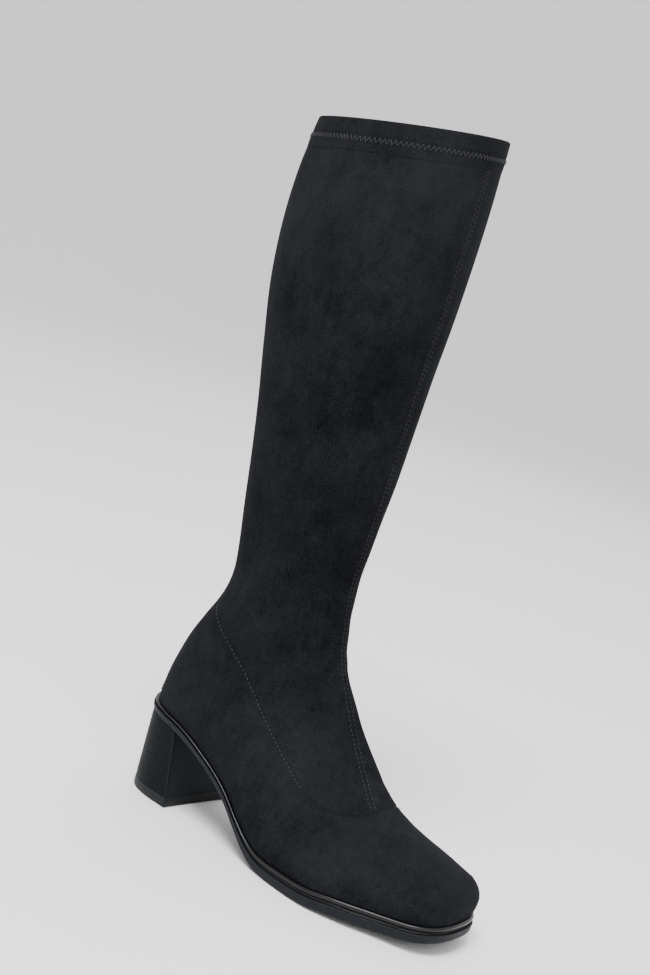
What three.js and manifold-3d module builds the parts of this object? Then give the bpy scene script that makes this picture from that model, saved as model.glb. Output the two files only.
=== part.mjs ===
// Knee-high block-heel boot for the right foot, in millimetres, +Z up, toe towards -Y.
// Shoe coordinates are used throughout: x (negative on the outer side, positive on the inner side),
// fwd (distance in front of the back of the heel) and up (height above the ground).
import * as THREE from 'three';
import { mergeVertices } from 'three/addons/utils/BufferGeometryUtils.js';
import Module from 'manifold-3d';

const wasm = await Module();
wasm.setup();

// ---------------------------------------------------------------- driving dimensions
const GAP = 0.3;                 // clearance between pieces that touch
const WALL = 1.6;                // suede and lining together
const FEATHER_LENGTH = 236;      // tip of the upper's edge at the sole
const HEEL_BACK = -2;            // back of the upper's edge at the sole
const HEEL_ROUND = 30;           // the outline's round back ends here
const TOE_ROUND = 216;           // the outline's soft square toe starts here
const WELT_REACH = 1.7;          // welt stands out from the upper
const SOLE_REACH = 2.2;          // outsole stands out from the upper
const SWELL = { outer: 1.6, inner: 2.6 };  // upper bulges over its own feather edge

const COLLAR = { up: 438, perX: 0.087, perFwd: 0.132, centreFwd: 50 };  // plane of the top edge
const BAND_HEIGHT = 19;          // elastic band at the collar
const BAND_PROUD = 0.6;          // band is this much thicker than the shaft, each side

const INSOLE = { thick: 2.4, clear: 1.2, ledge: 8 };  // clear: between its edge and the upper's wall
const TOP_PIECE_HEIGHT = 6;

const ZIP = {
  slot: 6, width: 5.4, rib: 3.2, thick: 1.7, ribThick: 2.6, bottomUp: 134, topBelow: 4, steps: 30,
};
const SLIDER = { width: 7.6, length: 11, thick: 2.4, below: 13 };
const BRIDGE = { width: 2.2, length: 8.4, height: 4.4, bar: 1.3 };
const PULL = { thick: 1.6, eyeLength: 19, eyeWidth: 7.4, bar: 1.7, leafLength: 25, leafWidth: 7 };

// ---------------------------------------------------------------- tables
const table = (columns, rows) =>
  rows.map((row) => Object.fromEntries(columns.map((name, k) => [name, row[k]])));

// Edge of the upper where it meets the sole: half widths each side of the boot's centre line.
const FEATHER = table(['fwd', 'outer', 'inner'], [
  [30, 30.0, 29.0],
  [50, 31.0, 28.5],
  [78, 32.0, 27.0],
  [100, 35.5, 28.5],
  [120, 39.5, 33.0],
  [145, 44.0, 39.5],
  [165, 45.0, 42.5],
  [185, 40.5, 42.0],
  [202, 34.2, 38.4],
  [216, 29.8, 35.0],
  [228, 26.6, 32.4],
  [240, 23.6, 29.8],
]);

// Side profile of the sole: underside height, outsole thickness and welt height.
const SOLE = table(['fwd', 'under', 'sole', 'welt'], [
  [-4, 53.6, 3.4, 2.0],
  [20, 51.0, 3.4, 2.0],
  [40, 46.0, 3.4, 2.0],
  [60, 37.8, 3.2, 2.0],
  [80, 26.6, 3.2, 2.1],
  [95, 15.2, 3.6, 2.4],
  [108, 6.0, 4.4, 3.0],
  [118, 1.5, 5.0, 3.5],
  [128, 0.0, 5.4, 3.9],
  [150, 0.0, 5.7, 4.2],
  [163, 0.8, 5.7, 4.3],
  [176, 2.2, 5.7, 4.4],
  [190, 3.0, 5.7, 4.5],
  [205, 4.1, 5.6, 4.4],
  [220, 5.7, 5.5, 4.3],
  [240, 9.0, 5.2, 4.2],
]);

// Sections of the upper from above the collar to the toe. Each lies in a plane that holds the X axis,
// from a back or bottom point to a front or top point. outer and inner are half widths, ridge is the x
// of the front point, widest is how far along the widest place lies, crown and base are how square the
// section is above and below it.
const SHAFT = table(
  ['backFwd', 'backUp', 'frontFwd', 'frontUp', 'outer', 'inner', 'ridge', 'widest', 'crown', 'base'], [
    [-3.5, 449, 105.0, 466, 54.0, 54.0, 0, 0.50, 2.0, 2.0],
    [-5.3, 430, 105.3, 445, 55.0, 55.0, 0, 0.50, 2.0, 2.0],
    [-9.4, 398, 106.4, 411, 57.5, 57.5, 0, 0.50, 2.0, 2.0],
    [-9.6, 365, 106.6, 376, 58.0, 58.0, 0, 0.49, 2.0, 2.0],
    [-6.5, 330, 106.4, 339, 55.5, 55.5, 0, 0.48, 2.0, 2.0],
    [0.0, 295, 105.6, 303, 50.5, 50.5, 0, 0.47, 2.0, 2.0],
    [7.5, 258, 105.6, 266, 45.0, 45.0, 0, 0.46, 2.0, 2.0],
    [12.5, 226, 105.6, 236, 40.0, 40.0, 0, 0.46, 2.0, 2.0],
    [17.0, 196, 104.4, 212, 36.3, 36.3, 0, 0.46, 2.0, 2.0],
    [21.5, 170, 103.1, 192, 33.6, 33.6, 1, 0.46, 2.0, 2.0],
    [23.4, 152, 102.3, 178, 32.4, 32.4, 1, 0.46, 2.0, 2.0],
    [20.5, 136, 102.6, 166, 32.0, 32.0, 2, 0.45, 2.0, 2.0],
    [13.0, 119, 103.8, 154, 31.8, 31.8, 3, 0.43, 2.0, 2.1],
    [6.0, 102, 105.6, 143, 31.8, 31.6, 4, 0.41, 2.0, 2.2],
    [0.8, 81, 107.4, 133, 31.9, 31.5, 5, 0.38, 2.0, 2.3],
    [-1.2, 68, 110.3, 125, 32.0, 31.5, 6, 0.36, 2.0, 2.3],
  ]);

// Sections that start on the feather edge: their width follows that edge.
const FOOT = table(
  ['backFwd', 'frontFwd', 'frontUp', 'ridge', 'widest', 'crown', 'base'], [
    [-1.7, 112.3, 120.0, 6, 0.35, 2.0, 2.3],
    [6, 116.6, 113.5, 6, 0.33, 1.97, 2.3],
    [22, 124.6, 103.3, 7, 0.30, 1.88, 2.3],
    [44, 134.2, 92.2, 7, 0.26, 1.78, 2.3],
    [68, 144.6, 81.2, 8, 0.24, 1.70, 2.2],
    [92, 156.0, 70.8, 8, 0.22, 1.65, 2.2],
    [116, 168.0, 60.8, 8, 0.20, 1.64, 2.2],
    [140, 181.0, 53.6, 8, 0.20, 1.68, 2.2],
    [163, 194.0, 48.4, 8, 0.22, 1.76, 2.2],
    [185, 206.2, 44.4, 8, 0.24, 1.90, 2.2],
    [202, 215.6, 41.8, 7, 0.26, 2.05, 2.2],
    [216, 224.0, 39.4, 6, 0.28, 2.25, 2.2],
  ]);
const HEEL_SQUARE_PLAN = 2.25;
const TOE_TIP = { frontFwd: 236.6, frontUp: 26.5, fall: 0.42, ridge: 3, squarePlan: 2.7, squareSide: 2.3 };

// Heel block, from the ground up.
const HEEL = table(['up', 'back', 'front', 'half'], [
  [0, -1.1, 41.5, 28.3],
  [6, -1.1, 40.6, 28.2],
  [30, -1.0, 36.4, 28.6],
  [60, -0.2, 31.0, 29.2],
]);
const HEEL_SQUARE = 2.7;
const HEEL_STRAIGHT = 7;              // flat part of each side, next to the breast
const HEEL_TURN = 5 * Math.PI / 180;  // the heel is turned about a point this far in front of its back
const HEEL_MIDDLE = 22;

// ---------------------------------------------------------------- small helpers
const toPoint = (x, fwd, up) => new THREE.Vector3(x, -fwd, up);
const mix = (a, b, t) => a + (b - a) * t;

function smooth(p0, p1, p2, p3, t) {
  const m1 = (p2 - p0) / 2;
  const m2 = (p3 - p1) / 2;
  return p1 + m1 * t + (3 * (p2 - p1) - 2 * m1 - m2) * t * t + (m1 + m2 - 2 * (p2 - p1)) * t * t * t;
}

// Value of one column at a place along a table's first column, on a smooth curve through the rows.
function lookUp(rows, key, at, column) {
  const last = rows.length - 1;
  if (at <= rows[0][key]) return rows[0][column];
  if (at >= rows[last][key]) return rows[last][column];
  let k = 0;
  while (rows[k + 1][key] < at) k += 1;
  const span = (i) => rows[i + 1][key] - rows[i][key];
  const rise = (i) => (rows[i + 1][column] - rows[i][column]) / span(i);
  const slopeAt = (i) => {
    if (i === 0) return rise(0);
    if (i === last) return rise(last - 1);
    return (rise(i - 1) * span(i) + rise(i) * span(i - 1)) / (span(i - 1) + span(i));
  };
  const t = (at - rows[k][key]) / span(k);
  const m1 = slopeAt(k) * span(k);
  const m2 = slopeAt(k + 1) * span(k);
  const p1 = rows[k][column];
  const p2 = rows[k + 1][column];
  return p1 + m1 * t + (3 * (p2 - p1) - 2 * m1 - m2) * t * t + (m1 + m2 - 2 * (p2 - p1)) * t * t * t;
}

const shrink = (u, square) => Math.max(0, 1 - Math.max(0, u) ** square) ** (1 / square);

// Closed solid from rings of points of equal count, one after another, with flat fans on both ends.
function ringSolid(rings) {
  const count = rings[0].length;
  const positions = rings.flat().flatMap((p) => [p.x, p.y, p.z]);
  const centre = (ring) => ring.reduce((sum, p) => sum.add(p), new THREE.Vector3()).divideScalar(count);
  const first = centre(rings[0]);
  const final = centre(rings[rings.length - 1]);
  positions.push(first.x, first.y, first.z, final.x, final.y, final.z);
  const firstId = rings.length * count;
  const finalId = firstId + 1;
  const faces = [];
  for (let i = 0; i + 1 < rings.length; i += 1) {
    for (let j = 0; j < count; j += 1) {
      const a = i * count + j;
      const b = i * count + (j + 1) % count;
      faces.push(a, b, a + count, b, b + count, a + count);
    }
  }
  for (let j = 0; j < count; j += 1) {
    const k = (j + 1) % count;
    const base = (rings.length - 1) * count;
    faces.push(firstId, k, j, finalId, base + j, base + k);
  }
  const geometry = new THREE.BufferGeometry();
  geometry.setAttribute('position', new THREE.Float32BufferAttribute(positions, 3));
  geometry.setIndex(faces);
  return toManifold(geometry);
}

function toManifold(source) {
  const bare = source.clone();
  bare.deleteAttribute('normal');
  bare.deleteAttribute('uv');
  const merged = mergeVertices(bare, 1e-4);
  const index = merged.index.array;
  const kept = [];
  for (let k = 0; k < index.length; k += 3) {
    const [a, b, c] = [index[k], index[k + 1], index[k + 2]];
    if (a !== b && b !== c && c !== a) kept.push(a, b, c);
  }
  const mesh = new wasm.Mesh({
    numProp: 3,
    vertProperties: new Float32Array(merged.attributes.position.array),
    triVerts: new Uint32Array(kept),
  });
  const solid = new wasm.Manifold(mesh);
  if (solid.volume() > 0) return solid;
  for (let k = 0; k < kept.length; k += 3) [kept[k], kept[k + 1]] = [kept[k + 1], kept[k]];
  mesh.triVerts = new Uint32Array(kept);
  return new wasm.Manifold(mesh);
}

function toGeometry(solid) {
  const mesh = solid.getMesh();
  const geometry = new THREE.BufferGeometry();
  geometry.setAttribute('position', new THREE.BufferAttribute(mesh.vertProperties, 3));
  geometry.setIndex(new THREE.BufferAttribute(mesh.triVerts, 1));
  return geometry;
}

// ---------------------------------------------------------------- sole outline and profile
// Half widths of the feather edge at a distance from the back, moved in or out by reach.
function outline(fwd, reach = 0) {
  const back = HEEL_BACK - reach;
  const tip = FEATHER_LENGTH + reach;
  const at = Math.min(Math.max(fwd, back), tip);
  const outer = lookUp(FEATHER, 'fwd', Math.max(at, HEEL_ROUND), 'outer') + reach;
  const inner = lookUp(FEATHER, 'fwd', Math.max(at, HEEL_ROUND), 'inner') + reach;
  if (at < HEEL_ROUND) {
    const close = shrink((HEEL_ROUND - at) / (HEEL_ROUND - back), HEEL_SQUARE_PLAN);
    return { outer: outer * close, inner: inner * close };
  }
  const close = shrink((at - TOE_ROUND) / (tip - TOE_ROUND), TOE_TIP.squarePlan);
  const middle = (inner - outer) / 2;
  const half = (inner + outer) / 2;
  return { outer: half * close - middle, inner: half * close + middle };
}

const underAt = (fwd) => Math.max(0, lookUp(SOLE, 'fwd', fwd, 'under'));
const soleTopAt = (fwd) => underAt(fwd) + lookUp(SOLE, 'fwd', fwd, 'sole');
const weltTopAt = (fwd) => soleTopAt(fwd) + GAP + lookUp(SOLE, 'fwd', fwd, 'welt');
const featherAt = (fwd) => weltTopAt(fwd) + GAP;

// Distances from the back of an outline to its tip, close together at its round ends.
function stations(reach) {
  const list = [];
  const heelSteps = 7;
  const toeSteps = 8;
  for (let k = 0; k < heelSteps; k += 1) {
    list.push(HEEL_ROUND - (HEEL_ROUND - HEEL_BACK + reach) * Math.cos((Math.PI / 2) * (k / heelSteps)));
  }
  const straightSteps = 31;
  for (let k = 0; k < straightSteps; k += 1) list.push(mix(HEEL_ROUND, TOE_ROUND, k / straightSteps));
  for (let k = 0; k <= toeSteps; k += 1) {
    const reachOfToe = FEATHER_LENGTH + reach - TOE_ROUND;
    list.push(TOE_ROUND + reachOfToe * Math.sin((Math.PI / 2) * (k / toeSteps)));
  }
  return list;
}

// Plate that follows the sole's profile. Its edge is a list of corners from top to bottom, each with a
// reach beyond the feather edge and a height that depends on the place along the sole.
function plate(corners) {
  const widest = Math.max(...corners.map((corner) => corner.reach));
  const places = stations(widest);
  const rings = places.map((place) => {
    const u = (place - HEEL_BACK + widest) / (FEATHER_LENGTH - HEEL_BACK + 2 * widest);
    const side = (name, sign) => corners.map((corner) => {
      const fwd = mix(HEEL_BACK - corner.reach, FEATHER_LENGTH + corner.reach, u);
      return toPoint(sign * outline(fwd, corner.reach)[name], fwd, corner.up(fwd));
    });
    return [...side('outer', -1), ...side('inner', 1).reverse()];
  });
  return ringSolid(rings);
}

// ---------------------------------------------------------------- upper
const UPPER_ROWS = [
  ...SHAFT.map((row) => ({ ...row, open: false })),
  ...FOOT.map((row) => {
    const wide = outline(mix(row.backFwd, row.frontFwd, row.widest));
    const [outer, inner] = [wide.outer + SWELL.outer, wide.inner + SWELL.inner];
    return { ...row, outer, inner, backUp: featherAt(row.backFwd), open: true };
  }),
];
const LAST_ROW = UPPER_ROWS.length - 1;

// Section at a place among the rows, thinned on every side by inset. Places past the last row are the
// toe, where the section closes from 0 to 1.
function section(place, inset) {
  const at = Math.min(place, LAST_ROW);
  const k = Math.min(Math.floor(at), LAST_ROW - 1);
  const pick = (i, name) => UPPER_ROWS[Math.min(Math.max(i, 0), LAST_ROW)][name];
  const column = (name) =>
    smooth(pick(k - 1, name), pick(k, name), pick(k + 1, name), pick(k + 2, name), at - k);
  const names = ['backFwd', 'backUp', 'frontFwd', 'frontUp', 'outer', 'inner', 'ridge', 'widest', 'crown',
    'base'];
  const shape = Object.fromEntries(names.map((name) => [name, column(name)]));
  shape.open = place >= SHAFT.length - 0.001;
  const toe = Math.sin((Math.PI / 2) * Math.max(0, place - LAST_ROW));
  if (toe > 0) {
    const start = shape.frontFwd;
    shape.backFwd = mix(shape.backFwd, FEATHER_LENGTH, toe);
    shape.frontFwd = mix(start, TOE_TIP.frontFwd, toe);
    const falling = shape.frontUp - TOE_TIP.fall * (shape.frontFwd - start);
    shape.frontUp = mix(TOE_TIP.frontUp, falling, shrink(toe, TOE_TIP.squareSide));
    shape.ridge = mix(shape.ridge, TOE_TIP.ridge, toe);
    const widestFwd = mix(shape.backFwd, shape.frontFwd, shape.widest);
    shape.outer = lookUp(FEATHER, 'fwd', widestFwd, 'outer') + SWELL.outer;
    shape.inner = lookUp(FEATHER, 'fwd', widestFwd, 'inner') + SWELL.inner;
  }
  if (shape.open) shape.backUp = featherAt(shape.backFwd);
  const run = Math.hypot(shape.frontFwd - shape.backFwd, shape.frontUp - shape.backUp);
  const step = { fwd: (shape.frontFwd - shape.backFwd) / run, up: (shape.frontUp - shape.backUp) / run };
  shape.frontFwd -= inset * mix(step.fwd, 1, toe);
  shape.frontUp -= inset * mix(step.up, 0, toe);
  const close = shrink(toe, TOE_TIP.squarePlan);
  const middle = (shape.inner - shape.outer) / 2;
  const half = (shape.inner + shape.outer) / 2 - inset;
  shape.outer = half * close - middle;
  shape.inner = half * close + middle;
  if (shape.open) {
    const share = (shape.backFwd - HEEL_BACK) / (FEATHER_LENGTH - HEEL_BACK);
    shape.backFwd = mix(HEEL_BACK + inset, FEATHER_LENGTH - inset, share);
    const base = outline(shape.backFwd, -inset);
    shape.baseOuter = Math.min(base.outer, shape.outer - 0.01);
    shape.baseInner = Math.min(base.inner, shape.inner - 0.01);
  } else {
    shape.backFwd += inset * step.fwd;
    shape.backUp += inset * step.up;
    shape.baseOuter = 0;
    shape.baseInner = 0;
  }
  return shape;
}

// Point of a section: along runs from 0 at the back or bottom to 1 at the front or top.
function sectionPoint(shape, along, x) {
  return toPoint(
    shape.ridge * along ** 2 + x,
    mix(shape.backFwd, shape.frontFwd, along),
    mix(shape.backUp, shape.frontUp, along),
  );
}

// Half width of a section at a place along it.
function halfWidth(shape, side, along) {
  const full = shape[side];
  if (along >= shape.widest) return full * shrink((along - shape.widest) / (1 - shape.widest), shape.crown);
  const base = side === 'outer' ? shape.baseOuter : shape.baseInner;
  const narrow = Math.min(Math.max(base / full, 0), 0.999);
  const reach = shape.widest / shrink(narrow, shape.base);
  return full * shrink((shape.widest - along) / reach, shape.base);
}

const CROWN_STEPS = 9;
const BASE_STEPS = 6;

// Places along a section for the points of one side, from its base to its crown.
function sectionSteps(shape) {
  const list = [];
  for (let k = 0; k < BASE_STEPS; k += 1) {
    list.push(shape.widest * (1 - Math.cos((Math.PI / 2) * (k / BASE_STEPS))));
  }
  const spread = (k) => Math.sin((Math.PI / 2) * (k / CROWN_STEPS)) ** (2 / shape.crown);
  for (let k = 0; k <= CROWN_STEPS; k += 1) {
    list.push(mix(shape.widest, 1, spread(k)));
  }
  return list;
}

// Ring of points from the outer base over the crown to the inner base. drop carries the two ends
// straight down, which runs an inner form out through the bottom.
function upperRing(place, inset, drop) {
  const shape = section(place, inset);
  const steps = sectionSteps(shape);
  const outer = steps.map((s) => sectionPoint(shape, s, -halfWidth(shape, 'outer', s)));
  const inner = steps.slice(0, -1).map((s) => sectionPoint(shape, s, halfWidth(shape, 'inner', s)));
  const ring = [...outer, ...inner.reverse()];
  if (drop > 0) {
    const fall = shape.open ? drop : 0;
    const low = (point) => new THREE.Vector3(point.x, point.y, point.z - fall);
    ring.unshift(low(ring[0]));
    ring.push(low(ring[ring.length - 1]));
  }
  return ring;
}

function upperPlaces() {
  const list = [];
  const shaftStep = 0.75;
  for (let at = 0; at < SHAFT.length - 1; at += shaftStep) list.push(at);
  list.push(SHAFT.length - 1);
  const heelBackSteps = 4;
  for (let k = 0; k < heelBackSteps; k += 1) list.push(SHAFT.length + k / heelBackSteps);
  for (let at = SHAFT.length + 1; at < LAST_ROW; at += 0.5) list.push(at);
  const toeSteps = 8;
  for (let k = 0; k <= toeSteps; k += 1) list.push(LAST_ROW + k / toeSteps);
  return list;
}

const upperForm = (inset, drop) => ringSolid(upperPlaces().map((at) => upperRing(at, inset, drop)));

// Box that fills everything above or below the collar plane moved down by drop.
function collarSide(drop, above) {
  const size = 1200;  // larger than the boot on every side
  const normal = new THREE.Vector3(-COLLAR.perX, COLLAR.perFwd, 1).normalize();
  const box = new THREE.BoxGeometry(size, size, size);
  const turn = new THREE.Quaternion().setFromUnitVectors(new THREE.Vector3(0, 0, 1), normal);
  const middle = toPoint(0, COLLAR.centreFwd, COLLAR.up - drop);
  middle.addScaledVector(normal, above ? size / 2 : -size / 2);
  box.applyMatrix4(new THREE.Matrix4().compose(middle, turn, new THREE.Vector3(1, 1, 1)));
  return toManifold(box);
}

// ---------------------------------------------------------------- zip
// Frame on the inner side of the shaft at a place among the rows: point, outward, along and across.
const zipAlong = (place) => mix(0.46, 0.36, Math.min(Math.max(place / 11, 0), 1));

function zipPoint(place) {
  const shape = section(place, WALL / 2);
  const along = zipAlong(place);
  return sectionPoint(shape, along, halfWidth(shape, 'inner', along));
}

function zipFrame(place) {
  const step = 0.05;
  const side = 0.02;
  const point = zipPoint(place);
  const down = zipPoint(place + step).sub(zipPoint(place - step)).normalize();
  const shape = section(place, WALL / 2);
  const along = zipAlong(place);
  const ahead = sectionPoint(shape, along + side, halfWidth(shape, 'inner', along + side));
  const behind = sectionPoint(shape, along - side, halfWidth(shape, 'inner', along - side));
  const across = ahead.sub(behind).normalize();
  const outward = new THREE.Vector3().crossVectors(across, down).normalize();
  if (outward.x < 0) outward.negate();
  across.crossVectors(down, outward).normalize();
  return { point, down, across, outward };
}

// Place among the rows where the zip's line crosses a height.
function zipPlaceAt(up) {
  let low = 0.1;
  let high = SHAFT.length - 1;
  for (let k = 0; k < 40; k += 1) {
    const middle = (low + high) / 2;
    if (zipPoint(middle).z > up) low = middle;
    else high = middle;
  }
  return low;
}

// Strip that runs down the zip's line, with a profile of [across, outward] corners.
function zipStrip(profile, fromPlace, toPlace, count) {
  const rings = [];
  for (let k = 0; k <= count; k += 1) {
    const frame = zipFrame(mix(fromPlace, toPlace, k / count));
    rings.push(profile.map(([across, outward]) => frame.point.clone()
      .addScaledVector(frame.across, across)
      .addScaledVector(frame.outward, outward)));
  }
  return ringSolid(rings);
}

const rectangle = (width, low, high) =>
  [[-width / 2, low], [width / 2, low], [width / 2, high], [-width / 2, high]];

const zipTopPlace = 0.1;
const zipEndPlace = zipPlaceAt(ZIP.bottomUp);
const slotReach = 6;
const slotProfile = rectangle(ZIP.slot, -slotReach, slotReach);
const slotCutter = zipStrip(slotProfile, zipTopPlace, zipEndPlace, ZIP.steps);

// ---------------------------------------------------------------- pieces
// The outer form runs a little below the feather edge and is trimmed there. The inner form runs
// further, so that it opens the bottom.
const TRIM = { reach: 12, depth: 40, outerDrop: 4, innerDrop: 9 };

function makeUpper() {
  const below = plate([
    { reach: TRIM.reach, up: featherAt },
    { reach: TRIM.reach, up: (fwd) => featherAt(fwd) - TRIM.depth },
  ]);
  const shell = upperForm(0, TRIM.outerDrop).subtract(below).subtract(upperForm(WALL, TRIM.innerDrop));
  return shell.subtract(collarSide(BAND_HEIGHT + GAP, true)).subtract(slotCutter);
}

function makeCollarBand() {
  const shell = upperForm(-BAND_PROUD, 0).subtract(upperForm(WALL + BAND_PROUD, TRIM.innerDrop));
  return shell.subtract(collarSide(0, true)).subtract(collarSide(BAND_HEIGHT, false)).subtract(slotCutter);
}

function makeZipChain() {
  const half = ZIP.thick / 2;
  const profile = [
    [-ZIP.width / 2, -half], [ZIP.width / 2, -half], [ZIP.width / 2, half], [ZIP.rib / 2, half],
    [ZIP.rib / 2, ZIP.ribThick - half], [-ZIP.rib / 2, ZIP.ribThick - half], [-ZIP.rib / 2, half],
    [-ZIP.width / 2, half],
  ];
  const top = zipPlaceAt(COLLAR.up - ZIP.topBelow);
  return zipStrip(profile, top, zipPlaceAt(ZIP.bottomUp + GAP), ZIP.steps);
}

function makeWelt() {
  const ledge = -INSOLE.ledge;
  const clear = 5;
  const part = (share) => (fwd) => mix(soleTopAt(fwd) + GAP, weltTopAt(fwd), share);
  const outside = plate([
    { reach: WELT_REACH - 0.7, up: part(1) },
    { reach: WELT_REACH, up: part(0.75) },
    { reach: WELT_REACH - 0.1, up: part(0.5) },
    { reach: WELT_REACH - 1.4, up: part(0.3) },
    { reach: WELT_REACH - 1.4, up: part(0) },
  ]);
  return outside.subtract(plate([
    { reach: ledge, up: (fwd) => weltTopAt(fwd) + clear },
    { reach: ledge, up: (fwd) => soleTopAt(fwd) - clear },
  ]));
}

function makeOutsole() {
  return plate([
    { reach: SOLE_REACH - 0.5, up: soleTopAt },
    { reach: SOLE_REACH, up: (fwd) => soleTopAt(fwd) - 0.5 },
    { reach: SOLE_REACH - 0.2, up: (fwd) => mix(underAt(fwd), soleTopAt(fwd), 0.3) },
    { reach: SOLE_REACH - 1.2, up: underAt },
  ]);
}

function makeInsole() {
  const edge = -(WALL + INSOLE.clear);
  const board = plate([
    { reach: edge, up: (fwd) => featherAt(fwd) + INSOLE.thick },
    { reach: edge, up: featherAt },
  ]);
  const filler = plate([
    { reach: -(INSOLE.ledge + GAP), up: (fwd) => featherAt(fwd) + INSOLE.thick / 2 },
    { reach: -(INSOLE.ledge + GAP), up: (fwd) => soleTopAt(fwd) + GAP },
  ]);
  return board.add(filler);
}

// Outline of the heel at a height: round back from the outer corner to the inner one, straight breast.
function heelRing(up) {
  const value = (column) => lookUp(HEEL, 'up', up, column);
  const [back, front, half] = ['back', 'front', 'half'].map(value);
  const steps = 18;
  const ring = [[-half, front]];
  for (let k = 0; k <= steps; k += 1) {
    const angle = Math.PI * (k / steps);
    const x = -half * Math.sign(Math.cos(angle)) * Math.abs(Math.cos(angle)) ** (2 / HEEL_SQUARE);
    const depth = (front - HEEL_STRAIGHT - back) * Math.sin(angle) ** (2 / HEEL_SQUARE);
    ring.push([x, front - HEEL_STRAIGHT - depth]);
  }
  ring.push([half, front]);
  return ring.map(([x, fwd]) => toPoint(
    x * Math.cos(HEEL_TURN) - (fwd - HEEL_MIDDLE) * Math.sin(HEEL_TURN),
    HEEL_MIDDLE + (fwd - HEEL_MIDDLE) * Math.cos(HEEL_TURN) + x * Math.sin(HEEL_TURN),
    up,
  ));
}

function makeHeelBlock() {
  const levels = [TOP_PIECE_HEIGHT + GAP, 20, 35, 60];
  const raised = ringSolid(levels.map(heelRing));
  const above = plate([
    { reach: 8, up: () => 120 },
    { reach: 8, up: (fwd) => underAt(fwd) - GAP },
  ]);
  return raised.subtract(above);
}

const makeHeelTopPiece = () => ringSolid([heelRing(0), heelRing(TOP_PIECE_HEIGHT)]);

// Place of the slider on the zip: its frame as a matrix whose z points outwards and y points up.
const sliderFrame = zipFrame(zipPlaceAt(COLLAR.up - SLIDER.below));

function sliderMatrix(outward) {
  const upward = sliderFrame.down.clone().negate();
  const matrix = new THREE.Matrix4();
  const across = new THREE.Vector3().crossVectors(upward, sliderFrame.outward);
  matrix.makeBasis(across, upward, sliderFrame.outward);
  matrix.setPosition(sliderFrame.point.clone().addScaledVector(sliderFrame.outward, outward));
  return matrix;
}

// Slider: a waisted plate over the teeth with a bridge that holds the pull.
function makeSlider() {
  const { width, length, thick } = SLIDER;
  const face = new THREE.Shape();
  face.moveTo(-width * 0.30, -length / 2);
  face.lineTo(width * 0.30, -length / 2);
  face.lineTo(width * 0.36, -length * 0.1);
  face.lineTo(width / 2, length * 0.2);
  face.lineTo(width / 2, length * 0.42);
  face.lineTo(width * 0.36, length / 2);
  face.lineTo(-width * 0.36, length / 2);
  face.lineTo(-width / 2, length * 0.42);
  face.lineTo(-width / 2, length * 0.2);
  face.lineTo(-width * 0.36, -length * 0.1);
  const body = new THREE.ExtrudeGeometry(face, { depth: thick, bevelEnabled: false });
  const arch = new THREE.Shape();
  const half = BRIDGE.length / 2;
  arch.moveTo(-half, -0.4);
  arch.lineTo(-half, BRIDGE.height - 1.2);
  arch.quadraticCurveTo(-half, BRIDGE.height, -half + 1.4, BRIDGE.height);
  arch.lineTo(half - 1.4, BRIDGE.height);
  arch.quadraticCurveTo(half, BRIDGE.height, half, BRIDGE.height - 1.2);
  arch.lineTo(half, -0.4);
  arch.lineTo(half - BRIDGE.bar, -0.4);
  arch.lineTo(half - BRIDGE.bar, BRIDGE.height - BRIDGE.bar);
  arch.lineTo(-half + BRIDGE.bar, BRIDGE.height - BRIDGE.bar);
  arch.lineTo(-half + BRIDGE.bar, -0.4);
  const bridge = new THREE.ExtrudeGeometry(arch, {
    depth: BRIDGE.width, curveSegments: 4, bevelEnabled: false,
  });
  bridge.translate(0, 0, -BRIDGE.width / 2);
  bridge.rotateX(Math.PI / 2);
  bridge.rotateZ(Math.PI / 2);
  bridge.translate(0, 0, thick);
  return toManifold(body).add(toManifold(bridge));
}

// Pull: an elongated eye whose top bar lies under the bridge, and a leaf below it. Its own origin is
// the middle of the top bar, and it hangs down along -y.
function makePull() {
  const { thick, eyeLength, eyeWidth, bar, leafLength, leafWidth } = PULL;
  const top = bar / 2;
  const outlineShape = new THREE.Shape();
  const halfEye = eyeWidth / 2;
  const neck = -eyeLength + top;
  const end = neck - leafLength;
  outlineShape.moveTo(-halfEye + 1, top);
  outlineShape.lineTo(halfEye - 1, top);
  outlineShape.lineTo(halfEye, top - 1.2);
  outlineShape.lineTo(halfEye * 0.94, neck + 4);
  outlineShape.quadraticCurveTo(halfEye * 0.86, neck + 1, halfEye * 0.74, neck - 1);
  outlineShape.quadraticCurveTo(leafWidth * 0.62, neck - 11, leafWidth * 0.16, end + 3);
  outlineShape.quadraticCurveTo(-leafWidth * 0.12, end - 0.6, -leafWidth * 0.34, end + 2);
  outlineShape.quadraticCurveTo(-leafWidth * 0.62, neck - 12, -halfEye * 0.74, neck - 1);
  outlineShape.quadraticCurveTo(-halfEye * 0.86, neck + 1, -halfEye * 0.94, neck + 4);
  outlineShape.lineTo(-halfEye, top - 1.2);
  const hole = new THREE.Path();
  const halfHole = halfEye - 1.6;
  hole.moveTo(-halfHole, -top);
  hole.lineTo(-halfHole * 0.9, neck + 4);
  hole.quadraticCurveTo(0, neck - 0.5, halfHole * 0.9, neck + 4);
  hole.lineTo(halfHole, -top);
  outlineShape.holes.push(hole);
  const body = new THREE.ExtrudeGeometry(outlineShape, {
    depth: thick, curveSegments: 6, bevelEnabled: false,
  });
  body.translate(0, 0, -thick / 2);
  return toManifold(body);
}

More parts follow.
